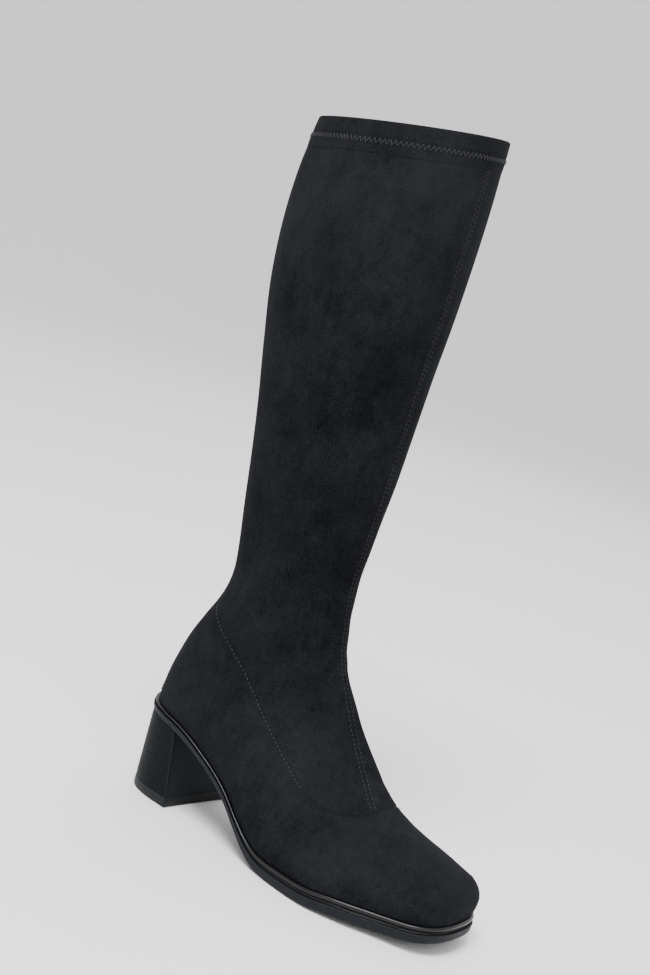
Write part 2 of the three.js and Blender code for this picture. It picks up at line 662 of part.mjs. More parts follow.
// ---------------------------------------------------------------- materials and scene graph
const finish = (color, roughness, metalness) =>
  new THREE.MeshStandardMaterial({ color, roughness, metalness });
const suede = finish(0x16171b, 0.95, 0);
const lining = finish(0x1b1b1e, 0.9, 0);
const gloss = finish(0x0c0c0e, 0.25, 0);
const rubber = finish(0x1a1b1d, 0.6, 0);
const stacked = finish(0x191a1c, 0.55, 0);
const teeth = finish(0x24262b, 0.45, 0.6);
const gunmetal = finish(0x9a9da3, 0.3, 1);

const boot = new THREE.Group();

function addPiece(name, solid, material, matrix) {
  const mesh = new THREE.Mesh(toGeometry(solid), material);
  mesh.name = name;
  if (matrix) matrix.decompose(mesh.position, mesh.quaternion, mesh.scale);
  boot.add(mesh);
  return mesh;
}

addPiece('upper', makeUpper(), suede);
addPiece('collar_band', makeCollarBand(), suede);
addPiece('insole', makeInsole(), lining);
addPiece('welt', makeWelt(), gloss);
addPiece('outsole', makeOutsole(), rubber);
addPiece('heel_block', makeHeelBlock(), stacked);
addPiece('heel_top_piece', makeHeelTopPiece(), rubber);
addPiece('zip_chain', makeZipChain(), teeth);
const ribTop = ZIP.ribThick - ZIP.thick / 2;
addPiece('zip_slider', makeSlider(), gunmetal, sliderMatrix(ribTop + GAP));

const pivotOut = ribTop + GAP + SLIDER.thick + (BRIDGE.height - BRIDGE.bar) / 2;
const pull = addPiece('zip_pull', makePull(), gunmetal);
const pivot = sliderFrame.point.clone().addScaledVector(sliderFrame.outward, pivotOut);
const hang = new THREE.Matrix4().makeBasis(
  new THREE.Vector3(0, 1, 0),
  new THREE.Vector3(0, 0, 1),
  new THREE.Vector3(1, 0, 0),
);
hang.setPosition(pivot);
hang.decompose(pull.position, pull.quaternion, pull.scale);

// The origin is the middle of the boot's box, on the ground.
boot.updateMatrixWorld(true);
const box = new THREE.Box3().setFromObject(boot, true);
boot.position.set(-(box.min.x + box.max.x) / 2, -(box.min.y + box.max.y) / 2, -box.min.z);

export default boot;
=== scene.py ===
"""Dresses a knee-high block-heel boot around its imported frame.

Lengths are in millimetres of the shoe until a piece is made: x is negative on the outer side of the foot and
positive on its inner side, y is minus the distance in front of the heel's back, z is the height above ground.
"""

import logging
import math
from dataclasses import dataclass, field
from enum import Enum
from typing import Callable, Optional, Sequence, Union

import bmesh
import bpy
import numpy as np
from mathutils import Matrix, Vector
from mathutils.bvhtree import BVHTree
from mathutils.kdtree import KDTree


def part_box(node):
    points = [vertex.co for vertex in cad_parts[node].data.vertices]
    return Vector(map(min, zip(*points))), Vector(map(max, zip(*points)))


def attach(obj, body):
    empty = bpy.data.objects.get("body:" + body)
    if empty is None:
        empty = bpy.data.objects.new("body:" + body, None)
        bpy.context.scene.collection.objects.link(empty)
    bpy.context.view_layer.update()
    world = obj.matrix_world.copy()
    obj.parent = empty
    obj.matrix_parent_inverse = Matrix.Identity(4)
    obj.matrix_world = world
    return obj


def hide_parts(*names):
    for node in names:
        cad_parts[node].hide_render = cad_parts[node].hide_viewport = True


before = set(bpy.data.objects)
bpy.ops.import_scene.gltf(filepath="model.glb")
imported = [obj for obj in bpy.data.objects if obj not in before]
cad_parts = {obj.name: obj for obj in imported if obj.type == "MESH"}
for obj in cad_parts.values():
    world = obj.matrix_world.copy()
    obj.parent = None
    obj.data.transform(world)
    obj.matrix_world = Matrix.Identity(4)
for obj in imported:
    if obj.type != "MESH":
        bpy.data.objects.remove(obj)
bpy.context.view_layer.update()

LOG = logging.getLogger("boot")
BOOT = "boot"
PULL = "zip_pull"
Row = dict[str, float]
Number = Union[float, np.ndarray]
Height = Callable[[np.ndarray], np.ndarray]
Edge = tuple[float, Height]


def table(columns: str, rows: Sequence[Sequence[float]]) -> list[Row]:
    """Names the columns of a short table.

    Args:
        columns: the column names, split by spaces.
        rows: the values, row by row.

    Returns:
        One dictionary per row.
    """
    names = columns.split()
    return [dict(zip(names, row)) for row in rows]


# ------------------------------------------------------------------------------------------ shader kit
class Sock:
    """A shader socket that can be used in a sum or a product."""

    def __init__(self, graph: "Graph", socket: bpy.types.NodeSocket) -> None:
        """Keeps the socket and the graph it is in."""
        self.graph = graph
        self.socket = socket

    def _math(self, operation: str, first: "Value", second: "Value" = 0.0) -> "Sock":
        """Adds one Math node.

        Args:
            operation: Blender's name of the operation.
            first: left value.
            second: right value.

        Returns:
            The node's result.
        """
        return self.graph.node("ShaderNodeMath", {"operation": operation}, {0: first, 1: second})[0]

    def __add__(self, other: "Value") -> "Sock":
        """Sum."""
        return self._math("ADD", self, other)

    __radd__ = __add__

    def __mul__(self, other: "Value") -> "Sock":
        """Product."""
        return self._math("MULTIPLY", self, other)

    __rmul__ = __mul__

    def __sub__(self, other: "Value") -> "Sock":
        """Difference."""
        return self._math("SUBTRACT", self, other)

    def __rsub__(self, other: "Value") -> "Sock":
        """Difference from a number."""
        return self._math("SUBTRACT", other, self)

    def sine(self) -> "Sock":
        """Sine of the value in radians."""
        return self._math("SINE", self)

    def above(self, low: float, high: float) -> "Sock":
        """0 up to low, 1 from high, smooth between them.

        Args:
            low: where the rise starts.
            high: where it ends.

        Returns:
            The smooth step.
        """
        settings = {"interpolation_type": "SMOOTHSTEP"}
        return self.graph.node("ShaderNodeMapRange", settings, {"Value": self, 1: low, 2: high})[0]


Value = Union[float, Sock]
Triple = tuple[float, float, float]
Colour = Triple


class Graph:
    """Node graph of one material, around its Principled shader."""

    def __init__(self, name: str) -> None:
        """Makes an empty material with a Principled shader."""
        self.material = bpy.data.materials.new(name)
        self.material.use_nodes = True
        self.tree = self.material.node_tree
        self.shader = self.tree.nodes["Principled BSDF"]
        self.place = self.node("ShaderNodeTexCoord", {}, {})["Object"]

    def node(self, kind: str, settings: dict, sockets: dict) -> dict:
        """Adds any node.

        Args:
            kind: node type.
            settings: attributes to set first.
            sockets: input values or links by name or index.

        Returns:
            The node's outputs by name and by index.
        """
        made = self.tree.nodes.new(kind)
        for key, value in settings.items():
            setattr(made, key, value)
        for key, value in sockets.items():
            if isinstance(value, Sock):
                self.tree.links.new(value.socket, made.inputs[key])
            else:
                made.inputs[key].default_value = value
        outputs = {socket.name: Sock(self, socket) for socket in made.outputs}
        outputs.update({k: Sock(self, socket) for k, socket in enumerate(made.outputs)})
        return outputs

    def stretched(self, scale: Triple) -> Sock:
        """Object place, scaled along each axis."""
        return self.node("ShaderNodeMapping", {}, {"Vector": self.place, "Scale": scale})[0]

    def noise(self, scale: float, detail: float = 3.0, rough: float = 0.55,
              at: Optional[Sock] = None) -> Sock:
        """Noise from 0 to 1.

        Args:
            scale: features in a metre.
            detail: octaves.
            rough: weight of the finer octaves.
            at: place to read it, by default the object place.

        Returns:
            The noise factor.
        """
        sockets = {"Vector": at or self.place, "Scale": scale, "Detail": detail, "Roughness": rough}
        return self.node("ShaderNodeTexNoise", {}, sockets)[0]

    def axis(self, name: str) -> Sock:
        """One coordinate of the object place, in metres."""
        return self.node("ShaderNodeSeparateXYZ", {}, {0: self.place})[name]

    def blend(self, share: Value, first: Union[Colour, Sock], second: Union[Colour, Sock]) -> Sock:
        """Mixes two colours.

        Args:
            share: 0 for the first, 1 for the second.
            first: colour.
            second: colour.

        Returns:
            The mixed colour.
        """
        wide = [(*c, 1.0) if isinstance(c, tuple) else c for c in (first, second)]
        settings = {"data_type": "RGBA", "clamp_factor": True}
        return self.node("ShaderNodeMix", settings, {0: share, 6: wide[0], 7: wide[1]})[2]

    def bump(self, height: Sock, depth: float, strength: float = 1.0) -> None:
        """Feeds the shader's normal.

        Args:
            height: relief from 0 to 1.
            depth: height of that relief in metres.
            strength: share of it that shows.
        """
        relief = self.node("ShaderNodeBump", {}, {"Height": height, "Distance": depth, "Strength": strength})
        self.feed("Normal", relief["Normal"])

    def feed(self, name: str, value: Union[Sock, float, Colour]) -> None:
        """Links or sets one of the shader's sockets."""
        socket = self.shader.inputs[name]
        if isinstance(value, Sock):
            self.tree.links.new(value.socket, socket)
        elif isinstance(value, tuple):
            socket.default_value = (*value, 1.0)
        else:
            socket.default_value = value


# ------------------------------------------------------------------------------------------ finishes
class NapSide(Enum):
    """Which side of the stretch suede shows."""

    BRUSHED = "brushed face"
    BAND = "brushed face over elastic"


@dataclass(frozen=True)
class Suede:
    """Dark stretch suede with a cloudy brushed nap, and painted shade over the lower shaft."""

    dark: Colour = (0.0015, 0.0018, 0.0024)
    light: Colour = (0.0140, 0.0149, 0.0172)
    side: NapSide = NapSide.BRUSHED

    def material(self, name: str) -> bpy.types.Material:
        """Builds the material."""
        g = Graph(name)
        clouds = g.noise(14.0, 4.0, 0.6)
        strokes = g.noise(1.0, 4.0, 0.65, at=g.stretched((210.0, 210.0, 60.0)))
        patches = g.noise(70.0, 5.0, 0.7)
        nap = g.noise(1500.0, 2.0, 0.6)
        grain = g.noise(1.0, 2.0, 0.5, at=g.stretched((2600.0, 2600.0, 900.0)))
        up = g.axis("Z")
        # painted shade: the suede is darkened in a band from 0.07 m to 0.44 m high, fully between 0.17 m and
        # 0.24 m, where the lower shaft lies in shade
        painted_shaft_shade = up.above(0.07, 0.17) * (1.0 - up.above(0.24, 0.44))
        tone = clouds * 0.42 + strokes * 0.14 + patches * 0.24 + nap * 0.72 - painted_shaft_shade * 0.10 - 0.205
        colour = g.blend(tone.above(0.27, 0.76), self.dark, self.light)
        g.feed("Base Color", colour)
        g.feed("Roughness", 0.88 + nap * 0.1)
        g.feed("Specular IOR Level", 0.04)
        g.feed("Sheen Weight", 0.006)
        g.feed("Sheen Roughness", 0.45)
        g.feed("Sheen Tint", (0.72, 0.78, 1.0))
        relief = grain * 0.5 + nap * 0.4 + patches * 0.5
        if self.side is NapSide.BAND:
            relief = relief + (g.axis("Z") * (2.0 * math.pi / 0.0016)).sine() * 0.12
        g.bump(relief, 0.00022, 0.75)
        return g.material


@dataclass(frozen=True)
class Knit:
    """Fine knitted or woven cloth, for the lining, the sock and the zip tape."""

    colour: Colour = (0.0060, 0.0060, 0.0070)
    pitch: float = 0.0009

    def material(self, name: str) -> bpy.types.Material:
        """Builds the material."""
        g = Graph(name)
        turn = 2.0 * math.pi / self.pitch
        along = (g.axis("Z") * turn + g.axis("Y") * turn * 0.5).sine()
        across = (g.axis("Y") * turn + g.axis("X") * turn * 0.7).sine()
        weave = along * across * 0.5 + 0.5
        worn = g.noise(60.0, 3.0)
        pale = tuple(1.9 * c for c in self.colour)
        g.feed("Base Color", g.blend(weave * 0.5 + worn * 0.5, self.colour, pale))
        g.feed("Roughness", 0.8 + worn * 0.15)
        g.feed("Specular IOR Level", 0.25)
        g.feed("Sheen Weight", 0.04)
        g.bump(weave + worn * 0.4, 0.00018, 0.6)
        return g.material


@dataclass(frozen=True)
class Thread:
    """Twisted sewing thread."""

    colour: Colour = (0.024, 0.025, 0.029)

    def material(self, name: str) -> bpy.types.Material:
        """Builds the material."""
        g = Graph(name)
        fuzz = g.noise(2400.0, 2.0)
        g.feed("Base Color", g.blend(fuzz, tuple(0.55 * c for c in self.colour), self.colour))
        g.feed("Roughness", 0.55 + fuzz * 0.2)
        g.bump(fuzz, 0.0001, 0.6)
        return g.material


DULL_THREAD = Thread((0.0080, 0.0085, 0.0100))


@dataclass(frozen=True)
class Moulded:
    """Moulded or turned plastic and rubber, from satin to polished."""

    colour: Colour
    roughness: float
    coat: float = 0.0
    shine: float = 0.25
    grain: float = 0.00004
    speckle: float = 900.0

    def material(self, name: str) -> bpy.types.Material:
        """Builds the material."""
        g = Graph(name)
        fine = g.noise(self.speckle, 3.0, 0.6)
        scuff = g.noise(70.0, 4.0, 0.6)
        pale = tuple(1.5 * c + 0.0012 for c in self.colour)
        g.feed("Base Color", g.blend(scuff.above(0.35, 0.8) * 0.6 + fine * 0.4, self.colour, pale))
        g.feed("Roughness", self.roughness + scuff * 0.12 + fine * 0.05 - 0.08)
        g.feed("Specular IOR Level", self.shine)
        g.feed("Coat Weight", self.coat)
        g.feed("Coat Roughness", 0.12)
        g.bump(fine + scuff * 0.5, self.grain, 0.5)
        return g.material


WELT_POLISH = Moulded((0.0018, 0.0020, 0.0026), 0.33, coat=0.14, shine=0.26, grain=0.00001)
SOLE_RUBBER = Moulded((0.0046, 0.0054, 0.0078), 0.58, shine=0.16, grain=0.00005, speckle=1500.0)
TOP_RUBBER = Moulded((0.0050, 0.0062, 0.0078), 0.55, shine=0.2, grain=0.00006, speckle=1300.0)
HEEL_BREAST = Moulded((0.0036, 0.0052, 0.0078), 0.55, shine=0.15, grain=0.00003)
TEETH_NYLON = Moulded((0.0052, 0.0054, 0.0062), 0.34, coat=0.2, grain=0.00001)


@dataclass(frozen=True)
class Stacked:
    """Heel wrap printed and scored like stacked leather, with a plain breast."""

    dark: Colour = (0.0006, 0.0012, 0.0020)
    light: Colour = (0.0022, 0.0037, 0.0052)
    lift: float = 0.0020

    def material(self, name: str) -> bpy.types.Material:
        """Builds the material."""
        g = Graph(name)
        wander = g.noise(1.0, 2.0, 0.5, at=g.stretched((30.0, 30.0, 400.0)))
        height = g.axis("Z") + wander * 0.0007
        line = (height * (2.0 * math.pi / self.lift)).sine() * 0.5 + 0.5
        layer = g.noise(1.0, 1.0, 0.5, at=g.stretched((4.0, 4.0, 520.0)))
        fine = g.noise(1100.0, 3.0)
        tone = layer * 0.55 + line * 0.25 + fine * 0.20
        g.feed("Base Color", g.blend(tone.above(0.25, 0.75), self.dark, self.light))
        g.feed("Roughness", 0.46 + layer * 0.2)
        g.feed("Specular IOR Level", 0.09)
        g.bump(line * 0.6 + layer * 0.3 + fine * 0.15, 0.00012, 0.7)
        return g.material


@dataclass(frozen=True)
class Plated:
    """Plated die-cast metal with fine handling marks."""

    colour: Colour = (0.30, 0.31, 0.33)

    def material(self, name: str) -> bpy.types.Material:
        """Builds the material."""
        g = Graph(name)
        haze = g.noise(160.0, 4.0, 0.6)
        marks = g.noise(1.0, 2.0, 0.5, at=g.stretched((2500.0, 2500.0, 160.0)))
        g.feed("Base Color", g.blend(haze, tuple(0.7 * c for c in self.colour), self.colour))
        g.feed("Metallic", 1.0)
        g.feed("Roughness", 0.17 + haze * 0.14 + marks * 0.08)
        g.bump(marks, 0.00002, 0.4)
        return g.material


@dataclass(frozen=True)
class StudioPaper:
    """Plain pale studio floor."""

    colour: Colour = (0.88, 0.88, 0.88)

    def material(self, name: str) -> bpy.types.Material:
        """Builds the material."""
        g = Graph(name)
        tooth = g.noise(8.0, 2.0)
        g.feed("Base Color", g.blend(tooth, self.colour, tuple(c + 0.01 for c in self.colour)))
        g.feed("Roughness", 0.85)
        return g.material


# ------------------------------------------------------------------------------------------ the last
def unit(vectors: np.ndarray) -> np.ndarray:
    """Vectors scaled to a length of one."""
    return vectors / (np.linalg.norm(vectors, axis=-1, keepdims=True) + 1e-12)


def distance_along(path: np.ndarray) -> np.ndarray:
    """Distance along a path, at each of its points."""
    return np.concatenate([[0.0], np.cumsum(np.linalg.norm(np.diff(path, axis=0), axis=1))])


def read_path(path: np.ndarray, keys: np.ndarray, at: np.ndarray) -> np.ndarray:
    """Points of a path at new keys, by straight lines between its own."""
    return np.stack([np.interp(at, keys, path[:, k]) for k in range(3)], axis=1)


def cubic(first: Number, second: Number, leaving: Number, arriving: Number, t: Number) -> Number:
    """Smooth step between two values.

    Args:
        first: value at 0.
        second: value at 1.
        leaving: slope at 0.
        arriving: slope at 1.
        t: where to read it, from 0 to 1.

    Returns:
        The value there.
    """
    rise = second - first
    bend = 3 * rise - 2 * leaving - arriving
    twist = leaving + arriving - 2 * rise
    return first + leaving * t + bend * t**2 + twist * t**3


def shrink(share: np.ndarray, square: Number) -> np.ndarray:
    """How wide a rounded end still is.

    Args:
        share: 0 where the rounding starts, 1 at its tip.
        square: 2 for an ellipse, more for a squarer end.

    Returns:
        1 at the start, 0 at the tip.
    """
    share = np.clip(share, 0.0, 1.0)
    return np.maximum(0.0, 1.0 - share**square) ** (1.0 / square)


def look_up(rows: list[Row], at: Number, column: str) -> np.ndarray:
    """Reads one column on a smooth curve through the rows, which are keyed by fwd.

    Args:
        rows: the table.
        at: distances in front of the heel's back.
        column: which column.

    Returns:
        The values there.
    """
    keys = np.array([row["fwd"] for row in rows])
    values = np.array([row[column] for row in rows])
    span = np.diff(keys)
    rise = np.diff(values) / span
    middle = (rise[:-1] * span[1:] + rise[1:] * span[:-1]) / (span[1:] + span[:-1])
    slope = np.concatenate([rise[:1], middle, rise[-1:]])
    at = np.clip(np.asarray(at, dtype=float), keys[0], keys[-1])
    k = np.clip(np.searchsorted(keys, at) - 1, 0, len(span) - 1)
    t = (at - keys[k]) / span[k]
    m1, m2 = slope[k] * span[k], slope[k + 1] * span[k]
    return cubic(values[k], values[k + 1], m1, m2, t)


FEATHER = table("fwd outer inner", [
    (30, 30.0, 29.0), (50, 31.0, 28.5), (78, 32.0, 27.0), (100, 35.5, 28.5), (120, 39.5, 33.0),
    (145, 44.0, 39.5), (165, 45.0, 42.5), (185, 40.5, 42.0), (202, 34.2, 38.4), (216, 29.8, 35.0),
    (228, 26.6, 32.4), (240, 23.6, 29.8),
])
SOLE = table("fwd under sole welt", [
    (-4, 53.6, 3.4, 2.0), (20, 51.0, 3.4, 2.0), (40, 46.0, 3.4, 2.0), (60, 37.8, 3.2, 2.0),
    (80, 26.6, 3.2, 2.1), (95, 15.2, 3.6, 2.4), (108, 6.0, 4.4, 3.0), (118, 1.5, 5.0, 3.5),
    (128, 0.0, 5.4, 3.9), (150, 0.0, 5.7, 4.2), (163, 0.8, 5.7, 4.3), (176, 2.2, 5.7, 4.4),
    (190, 3.0, 5.7, 4.5), (205, 4.1, 5.6, 4.4), (220, 5.7, 5.5, 4.3), (240, 9.0, 5.2, 4.2),
])
SHAFT = table("back_fwd back_up front_fwd front_up outer inner ridge widest crown base", [
    (-3.5, 449, 105.0, 466, 54.0, 54.0, 0, 0.50, 2.0, 2.0),
    (-5.3, 430, 105.3, 445, 55.0, 55.0, 0, 0.50, 2.0, 2.0),
    (-9.4, 398, 106.4, 411, 57.5, 57.5, 0, 0.50, 2.0, 2.0),
    (-9.6, 365, 106.6, 376, 58.0, 58.0, 0, 0.49, 2.0, 2.0),
    (-6.5, 330, 106.4, 339, 55.5, 55.5, 0, 0.48, 2.0, 2.0),
    (0.0, 295, 105.6, 303, 50.5, 50.5, 0, 0.47, 2.0, 2.0),
    (7.5, 258, 105.6, 266, 45.0, 45.0, 0, 0.46, 2.0, 2.0),
    (12.5, 226, 105.6, 236, 40.0, 40.0, 0, 0.46, 2.0, 2.0),
    (17.0, 196, 104.4, 212, 36.3, 36.3, 0, 0.46, 2.0, 2.0),
    (21.5, 170, 103.1, 192, 33.6, 33.6, 1, 0.46, 2.0, 2.0),
    (23.4, 152, 102.3, 178, 32.4, 32.4, 1, 0.46, 2.0, 2.0),
    (20.5, 136, 102.6, 166, 32.0, 32.0, 2, 0.45, 2.0, 2.0),
    (13.0, 119, 103.8, 154, 31.8, 31.8, 3, 0.43, 2.0, 2.1),
    (6.0, 102, 105.6, 143, 31.8, 31.6, 4, 0.41, 2.0, 2.2),
    (0.8, 81, 107.4, 133, 31.9, 31.5, 5, 0.38, 2.0, 2.3),
    (-1.2, 68, 110.3, 125, 32.0, 31.5, 6, 0.36, 2.0, 2.3),
])
FOOT = table("back_fwd front_fwd front_up ridge widest crown base", [
    (-1.7, 112.3, 120.0, 6, 0.35, 2.0, 2.3), (6, 116.6, 113.5, 6, 0.33, 1.97, 2.3),
    (22, 124.6, 103.3, 7, 0.30, 1.88, 2.3), (44, 134.2, 92.2, 7, 0.26, 1.78, 2.3),
    (68, 144.6, 81.2, 8, 0.24, 1.70, 2.2), (92, 156.0, 70.8, 8, 0.22, 1.65, 2.2),
    (116, 168.0, 60.8, 8, 0.20, 1.64, 2.2), (140, 181.0, 53.6, 8, 0.20, 1.68, 2.2),
    (163, 194.0, 48.4, 8, 0.22, 1.76, 2.2), (185, 206.2, 44.4, 8, 0.24, 1.90, 2.2),
    (202, 215.6, 41.8, 7, 0.26, 2.05, 2.2), (216, 224.0, 39.4, 6, 0.28, 2.25, 2.2),
])


@dataclass
class Last:
    """Shape of the foot and leg that the boot is made over, and of the sole under it."""

    gap: float = 0.3
    feather_length: float = 236.0
    heel_back: float = -2.0
    heel_round: float = 30.0
    heel_square: float = 2.25
    toe_round: float = 216.0
    sole_reach: float = 2.2
    swell: dict[str, float] = field(default_factory=lambda: {"outer": 1.6, "inner": 2.6})
    toe: dict[str, float] = field(default_factory=lambda: {
        "front_fwd": 236.6, "front_up": 26.5, "fall": 0.42, "ridge": 3.0, "plan": 2.7, "side": 2.3,
    })
    collar: dict[str, float] = field(default_factory=lambda: {
        "up": 438.0, "per_x": 0.087, "per_fwd": 0.132, "centre_fwd": 50.0,
    })
    wall: float = 1.6
    ball: tuple[float, float] = (120.0, 190.0)
    zip_share: tuple[float, float] = (0.46, 0.36)
    zip_rows: float = 11.0

    def __post_init__(self) -> None:
        """Works out the foot's rows and where the frame holds the shoe."""
        self.rows: list[Row] = [dict(row) for row in SHAFT]
        for row in FOOT:
            place = row["back_fwd"] + (row["front_fwd"] - row["back_fwd"]) * row["widest"]
            outer, inner = self.outline(np.array(place))
            self.rows.append({
                **row,
                "outer": float(outer) + self.swell["outer"],
                "inner": float(inner) + self.swell["inner"],
                "back_up": float(self.feather_up(row["back_fwd"])),
            })
        low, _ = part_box("outsole")
        reach = np.max(self.outline(np.linspace(*self.ball, 281), self.sole_reach)[0])
        self.shift = np.array([
            low[0] * 1000 + reach, low[1] * 1000 + self.feather_length + self.sole_reach, 0.0,
        ])

    @property
    def last_row(self) -> int:
        """Index of the last row, where the toe starts."""
        return len(self.rows) - 1

    def outline(self, fwd: np.ndarray, reach: float = 0.0) -> tuple[np.ndarray, np.ndarray]:
        """Half widths of the feather edge.

        Args:
            fwd: distances in front of the heel's back.
            reach: how far outside the edge.

        Returns:
            The outer and inner half widths.
        """
        back = self.heel_back - reach
        tip = self.feather_length + reach
        at = np.clip(fwd, back, tip)
        held = np.maximum(at, self.heel_round)
        outer = look_up(FEATHER, held, "outer") + reach
        inner = look_up(FEATHER, held, "inner") + reach
        heel = shrink((self.heel_round - at) / (self.heel_round - back), self.heel_square)
        toe = shrink((at - self.toe_round) / (tip - self.toe_round), self.toe["plan"])
        middle = (inner - outer) / 2 * np.where(at < self.heel_round, heel, 1.0)
        half = (inner + outer) / 2 * heel * toe
        return half - middle, half + middle

    def under(self, fwd: np.ndarray) -> np.ndarray:
        """Height of the sole's underside."""
        return np.maximum(0.0, look_up(SOLE, fwd, "under"))

    def sole_top(self, fwd: np.ndarray) -> np.ndarray:
        """Height of the sole's top edge."""
        return self.under(fwd) + look_up(SOLE, fwd, "sole")

    def welt_top(self, fwd: np.ndarray) -> np.ndarray:
        """Height of the welt's top."""
        return self.sole_top(fwd) + self.gap + look_up(SOLE, fwd, "welt")

    def feather_up(self, fwd: np.ndarray) -> np.ndarray:
        """Height of the feather edge."""
        return self.welt_top(fwd) + self.gap

    def collar_plane(self, points: np.ndarray, drop: float) -> np.ndarray:
        """How far points lie above the collar's top edge, moved down by drop."""
        c = self.collar
        forward = -points[..., 1] - c["centre_fwd"]
        level = c["up"] - drop + c["per_x"] * points[..., 0] + c["per_fwd"] * forward
        return points[..., 2] - level

    def section(self, place: float, inset: float) -> Row:
        """Section of the upper.

        Args:
            place: which row, with a fraction; past the last row it is the toe.
            inset: how far inside the outer face.

        Returns:
            The section's sizes.
        """
        at = min(place, self.last_row)
        k = min(int(at), self.last_row - 1)
        t = at - k
        picks = [self.rows[min(max(i, 0), self.last_row)] for i in (k - 1, k, k + 1, k + 2)]
        names = "back_fwd back_up front_fwd front_up outer inner ridge widest crown base".split()
        s: Row = {}
        for name in names:
            p0, p1, p2, p3 = (row[name] for row in picks)
            s[name] = cubic(p1, p2, (p2 - p0) / 2, (p3 - p1) / 2, t)
        is_open = place >= len(SHAFT) - 0.001
        toe = math.sin(math.pi / 2 * max(0.0, place - self.last_row))
        if toe > 0:
            start = s["front_fwd"]
            s["back_fwd"] += (self.feather_length - s["back_fwd"]) * toe
            s["front_fwd"] = start + (self.toe["front_fwd"] - start) * toe
            falling = s["front_up"] - self.toe["fall"] * (s["front_fwd"] - start)
            low = self.toe["front_up"]
            s["front_up"] = low + (falling - low) * float(shrink(np.array(toe), self.toe["side"]))
            s["ridge"] += (self.toe["ridge"] - s["ridge"]) * toe
            widest_fwd = s["back_fwd"] + (s["front_fwd"] - s["back_fwd"]) * s["widest"]
            s["outer"] = float(look_up(FEATHER, widest_fwd, "outer")) + self.swell["outer"]
            s["inner"] = float(look_up(FEATHER, widest_fwd, "inner")) + self.swell["inner"]
        if is_open:
            s["back_up"] = float(self.feather_up(s["back_fwd"]))
        run = math.hypot(s["front_fwd"] - s["back_fwd"], s["front_up"] - s["back_up"])
        step_fwd = (s["front_fwd"] - s["back_fwd"]) / run
        step_up = (s["front_up"] - s["back_up"]) / run
        s["front_fwd"] -= inset * (step_fwd + (1 - step_fwd) * toe)
        s["front_up"] -= inset * step_up * (1 - toe)
        close = float(shrink(np.array(toe), self.toe["plan"]))
        middle = (s["inner"] - s["outer"]) / 2
        half = (s["inner"] + s["outer"]) / 2 - inset
        s["outer"], s["inner"] = half * close - middle, half * close + middle
        s["base_outer"] = s["base_inner"] = 0.0
        if is_open:
            share = (s["back_fwd"] - self.heel_back) / (self.feather_length - self.heel_back)
            low, high = self.heel_back + inset, self.feather_length - inset
            s["back_fwd"] = low + (high - low) * share
            outer, inner = self.outline(np.array(s["back_fwd"]), -inset)
            s["base_outer"] = min(float(outer), s["outer"] - 0.01)
            s["base_inner"] = min(float(inner), s["inner"] - 0.01)
        else:
            s["back_fwd"] += inset * step_fwd
            s["back_up"] += inset * step_up
        return s

    @staticmethod
    def half_width(s: Row, side: str, along: np.ndarray) -> np.ndarray:
        """Half width of a section.

        Args:
            s: the section.
            side: "outer" or "inner".
            along: 0 at the back or bottom, 1 at the front or top.

        Returns:
            The half widths.
        """
        full, widest = s[side], s["widest"]
        narrow = min(max(s["base_" + side] / full, 0.0), 0.999) if full else 0.0
        reach = widest / float(shrink(np.array(narrow), s["base"]))
        low = shrink((widest - along) / reach, s["base"])
        high = shrink((along - widest) / (1 - widest), s["crown"])
        return full * np.where(along >= widest, high, low)

    def section_points(self, s: Row, along: np.ndarray, x: np.ndarray) -> np.ndarray:
        """Points of a section at places along it and distances from its middle."""
        fwd = s["back_fwd"] + (s["front_fwd"] - s["back_fwd"]) * along
        up = s["back_up"] + (s["front_up"] - s["back_up"]) * along
        return np.stack([s["ridge"] * along**2 + x, -fwd, up], axis=-1)

    def zip_along(self, place: float) -> float:
        """Where the zip's line lies along a section."""
        start, end = self.zip_share
        return start + (end - start) * min(max(place / self.zip_rows, 0.0), 1.0)

    def zip_frame(self, place: float, inset: float = 0.8) -> dict[str, np.ndarray]:
        """Frame on the zip's line.

        Args:
            place: which row.
            inset: how far inside the outer face.

        Returns:
            Its point, and unit vectors down, across and outward.
        """
        def on_line(where: float, extra: float = 0.0) -> np.ndarray:
            """Point on the line, or beside it."""
            s = self.section(where, inset)
            along = np.array(self.zip_along(where) + extra)
            return self.section_points(s, along, self.half_width(s, "inner", along))

        down = unit(on_line(place + 0.05) - on_line(place - 0.05))
        across = on_line(place, 0.02) - on_line(place, -0.02)
        outward = unit(np.cross(across, down))
        outward *= math.copysign(1.0, outward[0])
        across = unit(np.cross(down, outward))
        return {"point": on_line(place), "down": down, "across": across, "outward": outward}

    def zip_place(self, up: float) -> float:
        """Row at which the zip's line crosses a height."""
        low, high = 0.1, len(SHAFT) - 1.0
        for _ in range(30):
            middle = (low + high) / 2
            if self.zip_frame(middle)["point"][2] > up:
                low = middle
            else:
                high = middle
        return low


